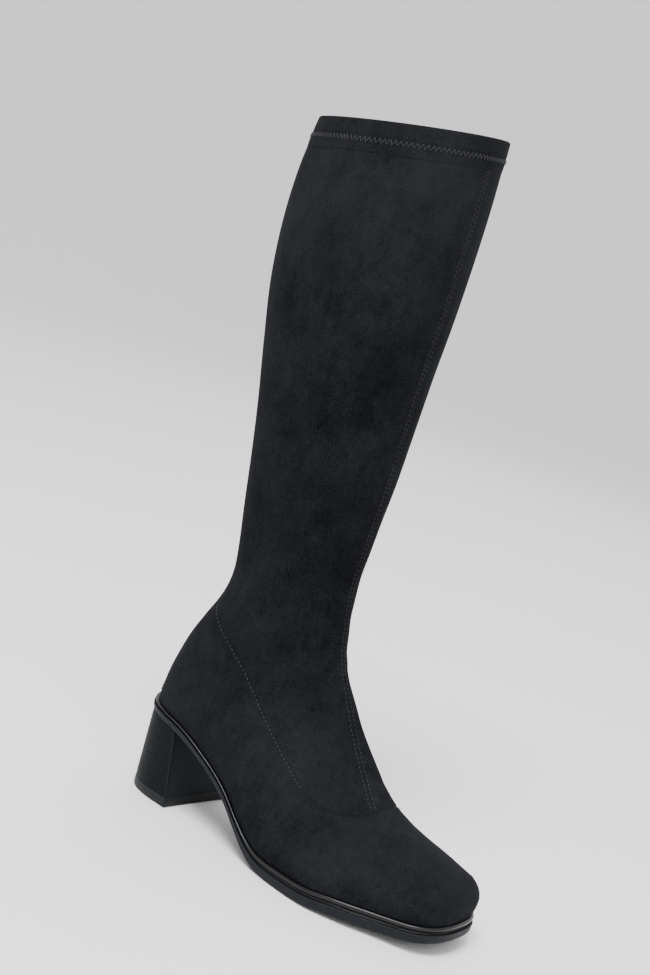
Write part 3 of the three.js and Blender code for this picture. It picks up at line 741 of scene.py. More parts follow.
# ------------------------------------------------------------------------------------------ mesh kit
class Sheet:
    """Points and faces of one piece, gathered in millimetres of the shoe."""

    def __init__(self, last: Last) -> None:
        """Starts empty."""
        self.last = last
        self.points: list[np.ndarray] = []
        self.faces: list[tuple[int, ...]] = []
        self.count = 0

    def add(self, points: np.ndarray) -> np.ndarray:
        """Adds points of any grid shape and returns their numbers in that shape."""
        flat = np.asarray(points, dtype=float).reshape(-1, 3)
        self.points.append(flat)
        numbers = np.arange(self.count, self.count + len(flat)).reshape(np.asarray(points).shape[:-1])
        self.count += len(flat)
        return numbers

    def skin(self, numbers: np.ndarray, wrap: bool = False, flip: bool = False,
             keep: Optional[np.ndarray] = None) -> None:
        """Lays quads over a grid of point numbers.

        Args:
            numbers: point numbers in rows and columns.
            wrap: joins the last column to the first.
            flip: turns the faces over.
            keep: which cells to fill, all by default.
        """
        rows, columns = numbers.shape
        last = columns if wrap else columns - 1
        for i in range(rows - 1):
            for j in range(last):
                if keep is not None and not keep[i, j]:
                    continue
                k = (j + 1) % columns
                quad = (numbers[i, j], numbers[i, k], numbers[i + 1, k], numbers[i + 1, j])
                self.faces.append(quad[::-1] if flip else quad)

    def lids(self, numbers: np.ndarray) -> None:
        """Closes the first and the last ring of a grid, each with one face."""
        self.faces.append(tuple(numbers[0][::-1]))
        self.faces.append(tuple(numbers[-1]))

    def bar(self, rings: np.ndarray) -> None:
        """Adds a bar with closed ends, from rows of points that run along it."""
        numbers = self.add(rings)
        self.skin(np.vstack([numbers, numbers[:1]]))
        self.lids(numbers[::-1].T)

    def pills(self, centres: np.ndarray, along: np.ndarray, side: np.ndarray, size: Triple) -> None:
        """Adds many small rounded pills, such as stitches or zip teeth.

        Args:
            centres: their middles.
            along: their long directions.
            side: their wide directions.
            size: half length, half width and half thickness.
        """
        third = np.cross(along, side)
        steps = ((-1.0, 0.25), (-0.82, 0.8), (-0.3, 1.0), (0.3, 1.0), (0.82, 0.8), (1.0, 0.25))
        angle = np.linspace(0, 2 * np.pi, 6, endpoint=False)
        for c, a, s, t in zip(centres, along, side, third):
            rings = [
                c + a * size[0] * z + width * (np.outer(np.cos(angle), s) * size[1]
                                                + np.outer(np.sin(angle), t) * size[2])
                for z, width in steps
            ]
            numbers = self.add(np.array(rings))
            self.skin(numbers, wrap=True)
            self.lids(numbers)

    def mesh(self, name: str, weld: float = 0.0, outward: bool = False) -> bpy.types.Mesh:
        """Makes the mesh in metres of the frame.

        Args:
            name: mesh name.
            weld: joins points closer than this, in millimetres.
            outward: turns all faces outwards.

        Returns:
            The mesh.
        """
        points = (np.vstack(self.points) + self.last.shift) / 1000.0
        made = bpy.data.meshes.new(name)
        made.from_pydata(points.tolist(), [], [tuple(int(i) for i in f) for f in self.faces])
        work = bmesh.new()
        work.from_mesh(made)
        if weld:
            bmesh.ops.remove_doubles(work, verts=work.verts, dist=weld / 1000.0)
        bmesh.ops.dissolve_degenerate(work, edges=work.edges, dist=1e-7)
        if outward:
            bmesh.ops.recalc_face_normals(work, faces=work.faces)
        work.to_mesh(made)
        work.free()
        made.validate()
        return made


def place_piece(mesh: bpy.types.Mesh, finish: bpy.types.Material, body: str,
                stands_for: Sequence[str] = (), crisp: Optional[float] = None) -> bpy.types.Object:
    """Puts a piece into the scene on its body.

    Args:
        mesh: its mesh, in metres of the frame.
        finish: its material.
        body: the frame's body that carries it.
        stands_for: nodes of the frame that it replaces.
        crisp: edges sharper than this many degrees stay sharp; all smooth by default.

    Returns:
        The object.
    """
    piece = bpy.data.objects.new(mesh.name, mesh)
    bpy.context.scene.collection.objects.link(piece)
    if not mesh.materials:
        mesh.materials.append(finish)
    mesh.polygons.foreach_set("use_smooth", [True] * len(mesh.polygons))
    if crisp is not None:
        mesh.set_sharp_from_angle(angle=math.radians(crisp))
    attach(piece, body)
    if stands_for:
        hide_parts(*stands_for)
    triangles = sum(len(p.vertices) - 2 for p in mesh.polygons)
    LOG.info("%s: %d triangles on %s", piece.name, triangles, body)
    return piece


def resample(path: np.ndarray, step: float) -> np.ndarray:
    """Evenly spaced points along a path.

    Args:
        path: its points.
        step: distance between the new ones.

    Returns:
        The new points.
    """
    length = distance_along(path)
    at = np.linspace(0.0, length[-1], max(2, int(round(length[-1] / step)) + 1))
    return read_path(path, length, at)


def rounded(guide: Sequence[Sequence[float]], per_span: int = 12) -> np.ndarray:
    """Smooth curve through guide points (Catmull-Rom)."""
    p = np.array(guide, dtype=float)
    p = np.vstack([2 * p[0] - p[1], p, 2 * p[-1] - p[-2]])
    out = []
    for k in range(1, len(p) - 2):
        t = np.linspace(0, 1, per_span, endpoint=False)[:, None]
        a, b, c, d = p[k - 1], p[k], p[k + 1], p[k + 2]
        out.append(0.5 * (2 * b + (c - a) * t + (2 * a - 5 * b + 4 * c - d) * t**2
                          + (3 * b - a - 3 * c + d) * t**3))
    return np.vstack([*out, p[-2:-1]])


# ------------------------------------------------------------------------------------------ the upper
@dataclass
class Skin:
    """Outer face of the upper as a fine grid of points and normals.

    Columns run from the outer feather edge over the front to the inner feather edge. Rows run down the leg
    and along the foot.
    """

    last: Last
    back_columns: int = 34
    slot_columns: int = 3
    front_columns: int = 39
    slot_half: float = 2.6
    step: float = 0.02
    collar_rows: int = 300
    settle: float = 3.0

    def __post_init__(self) -> None:
        """Samples the last's sections."""
        self.half = self.back_columns + self.slot_columns + self.front_columns
        count = int(round((self.last.last_row + 1) / self.step)) + 1
        self.places = np.arange(count) * self.step
        self.grid = np.array([self._ring(place) for place in self.places])
        down = np.gradient(self.grid, axis=0)
        down[-1] = down[-2]
        across = np.gradient(self.grid, axis=1)
        shaft = self.places < len(SHAFT) - 1
        seam = self.grid[shaft][:, 1] - self.grid[shaft][:, -2]
        across[shaft, 0] = across[shaft, -1] = seam / 2
        normal = unit(np.cross(across, down))
        middle = self.grid.mean(axis=1, keepdims=True)
        self.normals = normal * np.sign(np.sum(normal * (self.grid - middle)))

    @property
    def columns(self) -> int:
        """Number of columns."""
        return 2 * self.half + 1

    @property
    def slot(self) -> tuple[int, int]:
        """First and last column of the zip's slot, on the inner side."""
        first = 2 * self.half - self.back_columns - self.slot_columns
        return first, first + self.slot_columns

    def _ring(self, place: float) -> np.ndarray:
        """Points of one section, evenly spaced on each side of the zip's line."""
        s = self.last.section(float(place), 0.0)
        theta = np.linspace(0, np.pi / 2, 48)
        low = s["widest"] * (1 - np.cos(theta))
        high = s["widest"] + (1 - s["widest"]) * np.sin(theta) ** (2 / s["crown"])
        fine = np.concatenate([low, high[1:]])
        mean = (Last.half_width(s, "outer", fine) + Last.half_width(s, "inner", fine)) / 2
        points = self.last.section_points(s, fine, mean)
        length = distance_along(points)
        total = length[-1]
        centre = np.interp(self.last.zip_along(float(place)), fine, length)
        half = min(self.slot_half, 0.2 * total)
        back, front = max(centre - half, 0.1 * total), min(centre + half, 0.9 * total)
        targets = np.concatenate([
            np.linspace(0, back, self.back_columns + 1),
            np.linspace(back, front, self.slot_columns + 1)[1:],
            np.linspace(front, total, self.front_columns + 1)[1:],
        ])
        along = np.interp(targets, length, fine)
        outer = self.last.section_points(s, along, -Last.half_width(s, "outer", along))
        inner = self.last.section_points(s, along, Last.half_width(s, "inner", along))
        return np.vstack([outer, inner[:-1][::-1]])

    def at(self, places: np.ndarray) -> tuple[np.ndarray, np.ndarray]:
        """Points and normals at one place for each column."""
        where = np.clip(places / self.step, 0, len(self.places) - 1.001)
        k = where.astype(int)
        t = (where - k)[:, None]
        j = np.arange(self.columns)
        points = self.grid[k, j] * (1 - t) + self.grid[k + 1, j] * t
        normals = self.normals[k, j] * (1 - t) + self.normals[k + 1, j] * t
        return points, unit(normals)

    def level(self, drop: float) -> np.ndarray:
        """Place of each column where it crosses the collar plane moved down by drop."""
        above = self.last.collar_plane(self.grid[:self.collar_rows], drop)
        k = np.argmax(above < 0, axis=0)
        j = np.arange(self.columns)
        high, low = above[k - 1, j], above[k, j]
        return (k - 1 + high / (high - low)) * self.step

    def rows(self, drop: float, spacing: float) -> np.ndarray:
        """Places of evenly spaced rows from the collar plane moved down by drop to the toe.

        Args:
            drop: how far below the collar the rows start.
            spacing: distance between rows.

        Returns:
            Places in rows and columns.
        """
        start = self.level(drop)
        mean = float(start.mean())
        steps = np.linalg.norm(np.diff(self.grid, axis=0), axis=2)
        length = np.concatenate([[0.0], np.cumsum(0.6 * steps.mean(axis=1) + 0.4 * steps.max(axis=1))])
        begin = np.interp(mean, self.places, length)
        at = np.linspace(begin, length[-1], int((length[-1] - begin) / spacing))
        rows = np.interp(at, length, self.places)
        weight = np.clip(1 - (rows - mean) / self.settle, 0, 1)
        return rows[:, None] + weight[:, None] * (start - mean)[None, :]


class SurfaceMap:
    """Finds points on the upper's outer face."""

    def __init__(self, points: np.ndarray, faces: Sequence[Sequence[int]]) -> None:
        """Builds the search tree from a mesh in millimetres of the shoe."""
        self.tree = BVHTree.FromPolygons([tuple(p) for p in points], [tuple(f) for f in faces])

    def settle(self, path: np.ndarray) -> tuple[np.ndarray, np.ndarray]:
        """Moves points to the nearest place on the face.

        Args:
            path: the points.

        Returns:
            The points on the face, and the face's normals there.
        """
        found = [self.tree.find_nearest(tuple(p)) for p in path]
        return np.array([f[0] for f in found]), np.array([f[1] for f in found])

    def frames(self, path: np.ndarray) -> tuple[np.ndarray, np.ndarray, np.ndarray, np.ndarray]:
        """Frames on the face along a path.

        Args:
            path: points near the face.

        Returns:
            Points on the face, and unit vectors outward, ahead and to the left.
        """
        points, normals = self.settle(path)
        ahead = unit(np.gradient(points, axis=0))
        return points, normals, ahead, unit(np.cross(normals, ahead))

    def beside(self, path: np.ndarray, offset: float) -> np.ndarray:
        """Path on the face at a distance to the left of another one."""
        points, _, _, side = self.frames(path)
        return self.settle(points + offset * side)[0]


@dataclass(frozen=True)
class Seam:
    """One seam: where it runs and how it is sewn."""

    guide: tuple[Triple, ...]
    depth: float = 0.42
    half_width: float = 0.75
    lip: float = 0.14
    rows: tuple[float, ...] = ()


@dataclass(frozen=True)
class Crease:
    """One soft trough, or a ridge where depth is below zero."""

    x: float
    fwd: float
    up: float
    towards: Triple
    length: float
    width: float
    depth: float


SIDE_AND_VAMP = Seam((
    (0, 20.5, 139), (-13, 21.5, 136.5), (-24, 30, 130.5), (-29, 44, 119.5), (-29.5, 58, 108.5), (-28, 71, 97),
    (-26.5, 84, 85), (-26, 100, 72), (-27, 118, 60), (-27, 134, 51.5), (-23, 150, 49), (-15, 162, 51.5),
    (-7, 168, 55), (2, 170.5, 58), (10.5, 170.5, 58.5), (19, 167, 55), (27, 160, 51), (33, 149, 49),
    (34, 134, 52), (31, 118, 60), (29, 100, 72), (28.5, 84, 85), (29, 71, 97), (29.5, 58, 108.5),
    (29, 44, 119.5), (24, 30, 130.5), (13, 21.5, 136.5), (0, 20.5, 139),
))
FRONT = Seam((
    (0, 105.2, 445), (0, 106.4, 411), (0, 106.6, 376), (0, 106.4, 339), (0, 105.6, 303), (0, 105.6, 266),
    (0, 105.6, 236), (0, 104.4, 212), (1, 103.1, 192), (2, 102.6, 166), (4, 105.6, 143), (5, 110.3, 125),
    (4.5, 116.6, 113.5), (3, 124.6, 103), (1, 134.2, 91.5), (-1.5, 145, 79.5), (-4, 156, 67.5),
    (-6.3, 166.5, 56),
), depth=0.22, half_width=0.6, lip=0.05, rows=(-1.45, 1.45))
COUNTER = Seam(((0, 20.5, 139), (0, 13, 119), (0, 6, 102), (0, 0.8, 81), (0, -1.6, 64)), depth=0.3)
SEAMS = {"side": SIDE_AND_VAMP, "front": FRONT, "counter": COUNTER}
CREASES = (
    Crease(-43.5, 167, 26.5, (0.1, 1.0, -0.45), 10.0, 2.4, 1.05),
    Crease(-42.5, 174, 22.5, (0.1, 1.0, -0.35), 8.0, 2.0, 0.80),
    Crease(-43.0, 160, 33.0, (0.2, 1.0, -0.30), 12.0, 4.0, 0.45),
    Crease(42.0, 165, 27.0, (0.1, 1.0, -0.40), 10.0, 2.0, 0.60),
    Crease(8.0, 158, 69.0, (1.0, 0.1, -0.1), 16.0, 5.0, 0.45),
    Crease(-20.0, 96, 122.0, (0.7, 0.5, 0.3), 20.0, 6.0, 0.60),
    Crease(22.0, 96, 122.0, (-0.7, 0.5, 0.3), 20.0, 6.0, 0.60),
    Crease(-22.0, 98, 146.0, (0.7, 0.3, 0.25), 22.0, 7.0, 0.55),
    Crease(23.0, 98, 146.0, (-0.7, 0.3, 0.25), 22.0, 7.0, 0.55),
    Crease(-27.0, 36, 152.0, (0.4, 1.0, 0.35), 20.0, 7.0, 0.55),
    Crease(27.0, 36, 152.0, (-0.4, 1.0, 0.35), 20.0, 7.0, 0.55),
    Crease(-33.0, 60, 184.0, (0.1, 1.0, 0.10), 24.0, 9.0, 0.50),
    Crease(-46.0, 40, 262.0, (0.0, 0.3, 1.0), 60.0, 12.0, 0.55),
    Crease(-50.0, 74, 330.0, (0.0, 0.1, 1.0), 70.0, 14.0, 0.60),
    Crease(-30.0, 96, 300.0, (0.0, 0.0, 1.0), 70.0, 10.0, 0.50),
    Crease(40.0, 84, 300.0, (0.0, 0.0, 1.0), 60.0, 10.0, 0.55),
    Crease(-52.0, 20, 396.0, (0.0, 0.3, 1.0), 36.0, 9.0, 0.50),
    Crease(-38.0, 30, 86.0, (0.0, 1.0, 0.2), 24.0, 10.0, -0.40),
)


@dataclass
class Upper:
    """Foot and shaft of the boot: suede outside, lining inside, its seams and its stitches."""

    last: Last
    row_spacing: float = 1.85
    band_height: float = 19.0
    zip_bottom: float = 134.0
    placket: float = 6.6
    placket_rise: float = 0.45
    zip_row: float = 5.0
    edge_depth: float = 0.8
    feather_gap: float = 9.0
    lining_gap: float = 10.0
    refine: tuple[float, float] = (3.4, 2.2)
    seam_reach: float = 4.0
    lip_off: float = 1.6
    lip_width: float = 0.7
    side_sewn: tuple[float, float] = (0.355, 0.645)
    path_step: float = 0.5
    stitch: Triple = (0.80, 0.20, 0.16)
    stitch_pitch: float = 2.8

    def __post_init__(self) -> None:
        """Makes the skin that the pieces share."""
        self.skin = Skin(self.last)
        self.rows = self.skin.rows(self.band_height - 1.0, self.row_spacing)
        laid = [self.skin.at(row) for row in self.rows]
        self.points = np.array([points for points, _ in laid])
        self.normals = np.array([normals for _, normals in laid])
        self.zip_end = self.last.zip_place(self.zip_bottom)
        self.paths: dict[str, np.ndarray] = {}

    def _cells(self, rows: np.ndarray) -> np.ndarray:
        """Which cells between rows of places are cloth: all but the zip's slot."""
        first, last_column = self.skin.slot
        middle = (rows[:-1] + rows[1:]) / 2
        keep = np.ones((len(rows) - 1, self.skin.columns - 1), dtype=bool)
        keep[:, first:last_column] = middle[:, first:last_column] > self.zip_end
        return keep

    def _tip(self, gap: float) -> int:
        """Number of rows up to the last one whose two ends are further apart than gap."""
        apart = np.linalg.norm(self.points[:, 0] - self.points[:, -1], axis=1)
        return len(self.rows) - int(np.argmax(apart[::-1] > gap))

    def _turn_in(self, sheet: Sheet, numbers: np.ndarray, pick: np.ndarray, flip: bool) -> None:
        """Turns the edges of the zip's slot and of the sole's feather line into the wall.

        Args:
            sheet: the piece so far.
            numbers: its grid of point numbers.
            pick: the upper's row at each of the grid's rows.
            flip: turns the faces over.
        """
        first, last_column = self.skin.slot
        open_rows = int(np.argmax(self.rows[:, first] > self.zip_end)) + 1
        foot = int(np.argmax(self.rows[:, 0] >= len(SHAFT) - 0.5))
        tip = self._tip(self.feather_gap)
        edges = ((first, 0, open_rows, True), (last_column, 0, open_rows, False),
                 (0, foot, tip, True), (self.skin.columns - 1, foot, tip, False))
        for column, start, stop, turn in edges:
            inside = (pick >= start) & (pick < stop)
            deep = self.points[pick[inside], column] - self.edge_depth * self.normals[pick[inside], column]
            sheet.skin(np.stack([numbers[inside, column], sheet.add(deep)], axis=1), flip=(turn != flip))

    def suede(self) -> bpy.types.Object:
        """Builds the suede's outer face with its folds, seams and soft creases."""
        sheet = Sheet(self.last)
        numbers = sheet.add(self.points)
        sheet.skin(numbers, keep=self._cells(self.rows), flip=True)
        middle = self.skin.half + 1
        sheet.skin(np.stack([numbers[-1, :middle], numbers[-1, ::-1][:middle]]), flip=True)
        self._turn_in(sheet, numbers, np.arange(len(self.rows)), flip=True)
        self.map = SurfaceMap(np.vstack(sheet.points), sheet.faces)
        for name, seam in SEAMS.items():
            guide = rounded([(x, -fwd, up) for x, fwd, up in seam.guide])
            self.paths[name] = resample(self.map.settle(guide)[0], self.path_step)
        start = self.last.zip_place(self.last.collar["up"] - self.band_height + 2.5)
        frames = [self.last.zip_frame(place, 0.0) for place in np.linspace(start, self.zip_end + 0.05, 160)]
        for name, offset in (("zip", 0.0), ("zip_back", -self.zip_row), ("zip_front", self.zip_row)):
            line = np.array([f["point"] + offset * f["across"] for f in frames])
            self.paths[name] = resample(line, self.path_step)
        mesh = sheet.mesh("upper_suede", weld=0.03)
        self._work_in(mesh)
        finish = Suede().material("suede")
        return place_piece(mesh, finish, BOOT, stands_for=("upper",))

    def _work_in(self, mesh: bpy.types.Mesh) -> None:
        """Refines the mesh at its seams, then presses seams, placket and creases into it."""
        work = bmesh.new()
        work.from_mesh(mesh)
        trees = {name: self._tree(self.paths[name]) for name in (*SEAMS, "zip")}
        for reach in self.refine:
            near = {
                v for v in work.verts
                if min(trees[name].find(self._shoe(v.co))[2] for name in SEAMS) < reach
            }
            edges = [e for e in work.edges if e.verts[0] in near and e.verts[1] in near]
            bmesh.ops.subdivide_edges(work, edges=edges, cuts=1, use_grid_fill=True)
        work.normal_update()
        moves = []
        for v in work.verts:
            place = self._shoe(v.co)
            rise = 0.0
            for name, seam in SEAMS.items():
                d = trees[name].find(place)[2]
                if d < self.seam_reach:
                    rise -= seam.depth * math.exp(-((d / seam.half_width) ** 2))
                    rise += seam.lip * math.exp(-(((d - self.lip_off) / self.lip_width) ** 2))
            d = trees["zip"].find(place)[2]
            if d < self.placket + 4:
                rise += self.placket_rise / (1 + math.exp((d - self.placket) / 0.6))
            for crease in CREASES:
                rise -= self._crease(crease, place)
            moves.append(rise / 1000.0)
        for v, rise in zip(work.verts, moves):
            v.co += v.normal * rise
        work.to_mesh(mesh)
        work.free()

    @staticmethod
    def _tree(path: np.ndarray) -> KDTree:
        """Search tree over a path's points."""
        tree = KDTree(len(path))
        for k, point in enumerate(path):
            tree.insert(tuple(point), k)
        tree.balance()
        return tree

    def _shoe(self, co: Vector) -> Vector:
        """Place of a mesh point in millimetres of the shoe."""
        return co * 1000.0 - Vector(self.last.shift)

    @staticmethod
    def _crease(crease: Crease, place: Vector) -> float:
        """Depth of a crease at a place."""
        away = Vector((place.x - crease.x, place.y + crease.fwd, place.z - crease.up))
        if away.length > 2.5 * max(crease.length, crease.width):
            return 0.0
        line = Vector((crease.towards[0], -crease.towards[1], crease.towards[2])).normalized()
        run = away.dot(line)
        off = (away - run * line).length
        return crease.depth * math.exp(-((run / crease.length) ** 2) - (off / crease.width) ** 2)

    def lining(self) -> bpy.types.Object:
        """Builds the lining's inner face and the insides of the edges."""
        sheet = Sheet(self.last)
        last_row = self._tip(self.lining_gap) - 1
        pick = np.linspace(0, last_row, len(self.rows) // 2).round().astype(int)
        numbers = sheet.add(self.points[pick] - self.last.wall * self.normals[pick])
        sheet.skin(numbers, keep=self._cells(self.rows[pick]))
        self._turn_in(sheet, numbers, pick, flip=False)
        mesh = sheet.mesh("upper_lining", weld=0.03)
        return place_piece(mesh, Knit().material("lining"), BOOT)

    def stitches(self) -> None:
        """Sews the seams: small pills of thread along each row."""
        side, front = self.paths["side"], self.paths["front"][2:-4]
        outer_end, inner_start = (int(len(side) * share) for share in self.side_sewn)
        runs = {
            "side": (-0.16, Thread(), [side[8:outer_end], side[inner_start:-8]]),
            "front": (0.0, DULL_THREAD, [self.map.beside(front, row) for row in FRONT.rows]),
            "zip": (self.placket_rise, DULL_THREAD, [self.paths["zip_back"], self.paths["zip_front"]]),
        }
        for name, (lift, thread, paths) in runs.items():
            sheet = Sheet(self.last)
            for path in paths:
                self._sew(sheet, path, lift)
            mesh = sheet.mesh(f"{name}_stitches")
            place_piece(mesh, thread.material(f"{name}_stitches_thread"), BOOT)

    def _sew(self, sheet: Sheet, path: np.ndarray, lift: float) -> None:
        """Adds one row of stitches.

        Args:
            sheet: the piece so far.
            path: where the row runs.
            lift: height of the thread over the upper's plain face.
        """
        points, normals, ahead, side = self.map.frames(resample(path, self.stitch_pitch))
        sheet.pills(points + lift * normals, ahead, side, self.stitch)

    def build(self) -> None:
        """Builds every piece of the upper."""
        self.suede()
        self.lining()
        self.stitches()


@dataclass
class CollarBand:
    """Elastic band folded over the collar, and the zigzag that holds it."""

    last: Last
    skin: Skin
    height: float = 19.0
    proud: float = 0.6
    inside: float = 2.2
    zigzag_drop: float = 10.2
    zigzag_height: float = 2.9
    zigzag_pitch: float = 3.0
    thread: float = 0.2
    thread_lift: float = 0.22

    def _order(self) -> np.ndarray:
        """Columns from one side of the zip's slot round the leg to the other."""
        half, back = self.skin.half, self.skin.back_columns
        behind = np.arange(2 * half - back, 2 * half + 1)
        return np.concatenate([behind, np.arange(1, self.skin.slot[0] + 1)])

    def _loop(self, drop: float, depth: float) -> tuple[np.ndarray, np.ndarray]:
        """Points and normals round the leg at a drop below the collar and a depth under the outer face."""
        points, normals = self.skin.at(self.skin.level(drop))
        order = self._order()
        return (points - depth * normals)[order], normals[order]

    def band(self) -> bpy.types.Object:
        """Builds the band with rounded edges and the light pull-in of its zigzag."""
        outer = [(self.height + 0.02, 0.3), (self.height - 0.1, 0.02), (self.height - 1.0, -0.1),
                 (self.height - 2.4, -0.24), (self.height - 4.0, -0.4)]
        for drop in np.linspace(self.height - 5.4, 1.6, 23):
            near = (drop - self.zigzag_drop - self.zigzag_height / 2) / (0.8 * self.zigzag_height)
            outer.append((drop, -self.proud + 0.28 * math.exp(-(near**4))))
        top = [(0.75, -0.5), (0.25, -0.2), (0.03, 0.3), (0.0, 0.8), (0.03, 1.35), (0.25, 1.85), (0.8, 2.12)]
        inner = [(drop, self.inside) for drop in np.linspace(1.8, self.height, 8)]
        profile = outer + top + inner
        sheet = Sheet(self.last)
        sheet.bar(np.array([self._loop(drop, depth)[0] for drop, depth in profile]))
        mesh = sheet.mesh("collar_elastic", outward=True)
        finish = Suede(side=NapSide.BAND).material("band_suede")
        return place_piece(mesh, finish, BOOT, stands_for=("collar_band",), crisp=60)

    def zigzag(self) -> bpy.types.Object:
        """Sews the zigzag round the band."""
        high, normals = self._loop(self.zigzag_drop, -self.proud - 0.02)
        low, _ = self._loop(self.zigzag_drop + self.zigzag_height, -self.proud - 0.02)
        count = int(np.linalg.norm(np.diff(high, axis=0), axis=1).sum() / self.zigzag_pitch) * 2
        share = np.linspace(0.004, 0.996, count)
        at = np.linspace(0, 1, len(high))
        top, bottom, out = (read_path(loop, at, share) for loop in (high, low, normals))
        corners = np.where((np.arange(count) % 2 == 0)[:, None], top, bottom)
        centres = (corners[1:] + corners[:-1]) / 2 + self.thread_lift * (out[1:] + out[:-1]) / 2
        steps = np.diff(corners, axis=0)
        reach = float(np.linalg.norm(steps, axis=1).mean()) / 2
        along = unit(steps)
        sheet = Sheet(self.last)
        sheet.pills(centres, along, unit(np.cross(out[1:], along)), (reach, self.thread, self.thread * 0.8))
        thread = Thread((0.013, 0.014, 0.017)).material("zigzag_thread")
        return place_piece(sheet.mesh("zigzag_stitches"), thread, BOOT)

    def build(self) -> None:
        """Builds the band and its zigzag."""
        self.band()
        self.zigzag()


# ------------------------------------------------------------------------------------------ the bottom
@dataclass
class Rim:
    """Rings of points that follow the sole's outline, evenly spaced."""

    last: Last
    widest: float
    steps: int

    def __post_init__(self) -> None:
        """Spaces the stations evenly along the widest outline."""
        total = self.last.feather_length - self.last.heel_back + 2 * self.widest
        theta = np.linspace(0, np.pi, 2400)
        fwd = self.last.heel_back - self.widest + total * (1 - np.cos(theta)) / 2
        outer, inner = self.last.outline(fwd, self.widest)
        half = (outer + inner) / 2
        length = distance_along(np.stack([fwd, half], axis=1))
        at = np.interp(np.linspace(0, length[-1], self.steps + 1), length, fwd)
        self.share = (at - self.last.heel_back + self.widest) / total

    def sides(self, reach: float, up: Height) -> tuple[np.ndarray, np.ndarray]:
        """Outer and inner edge at a reach beyond the feather edge.

        Args:
            reach: distance outside the feather edge.
            up: height at each distance from the heel's back.

        Returns:
            Points of the outer edge and of the inner edge, from heel to toe.
        """
        low = self.last.heel_back - reach
        high = self.last.feather_length + reach
        fwd = low + (high - low) * self.share
        outer, inner = self.last.outline(fwd, reach)
        height = np.broadcast_to(up(fwd), fwd.shape)
        return (np.stack([-outer, -fwd, height], axis=1), np.stack([inner, -fwd, height], axis=1))

    def ring(self, reach: float, up: Height) -> np.ndarray:
        """Closed ring at a reach: outer edge to the toe, then back along the inner edge."""
        outer, inner = self.sides(reach, up)
        return np.vstack([outer, inner[1:-1][::-1]])


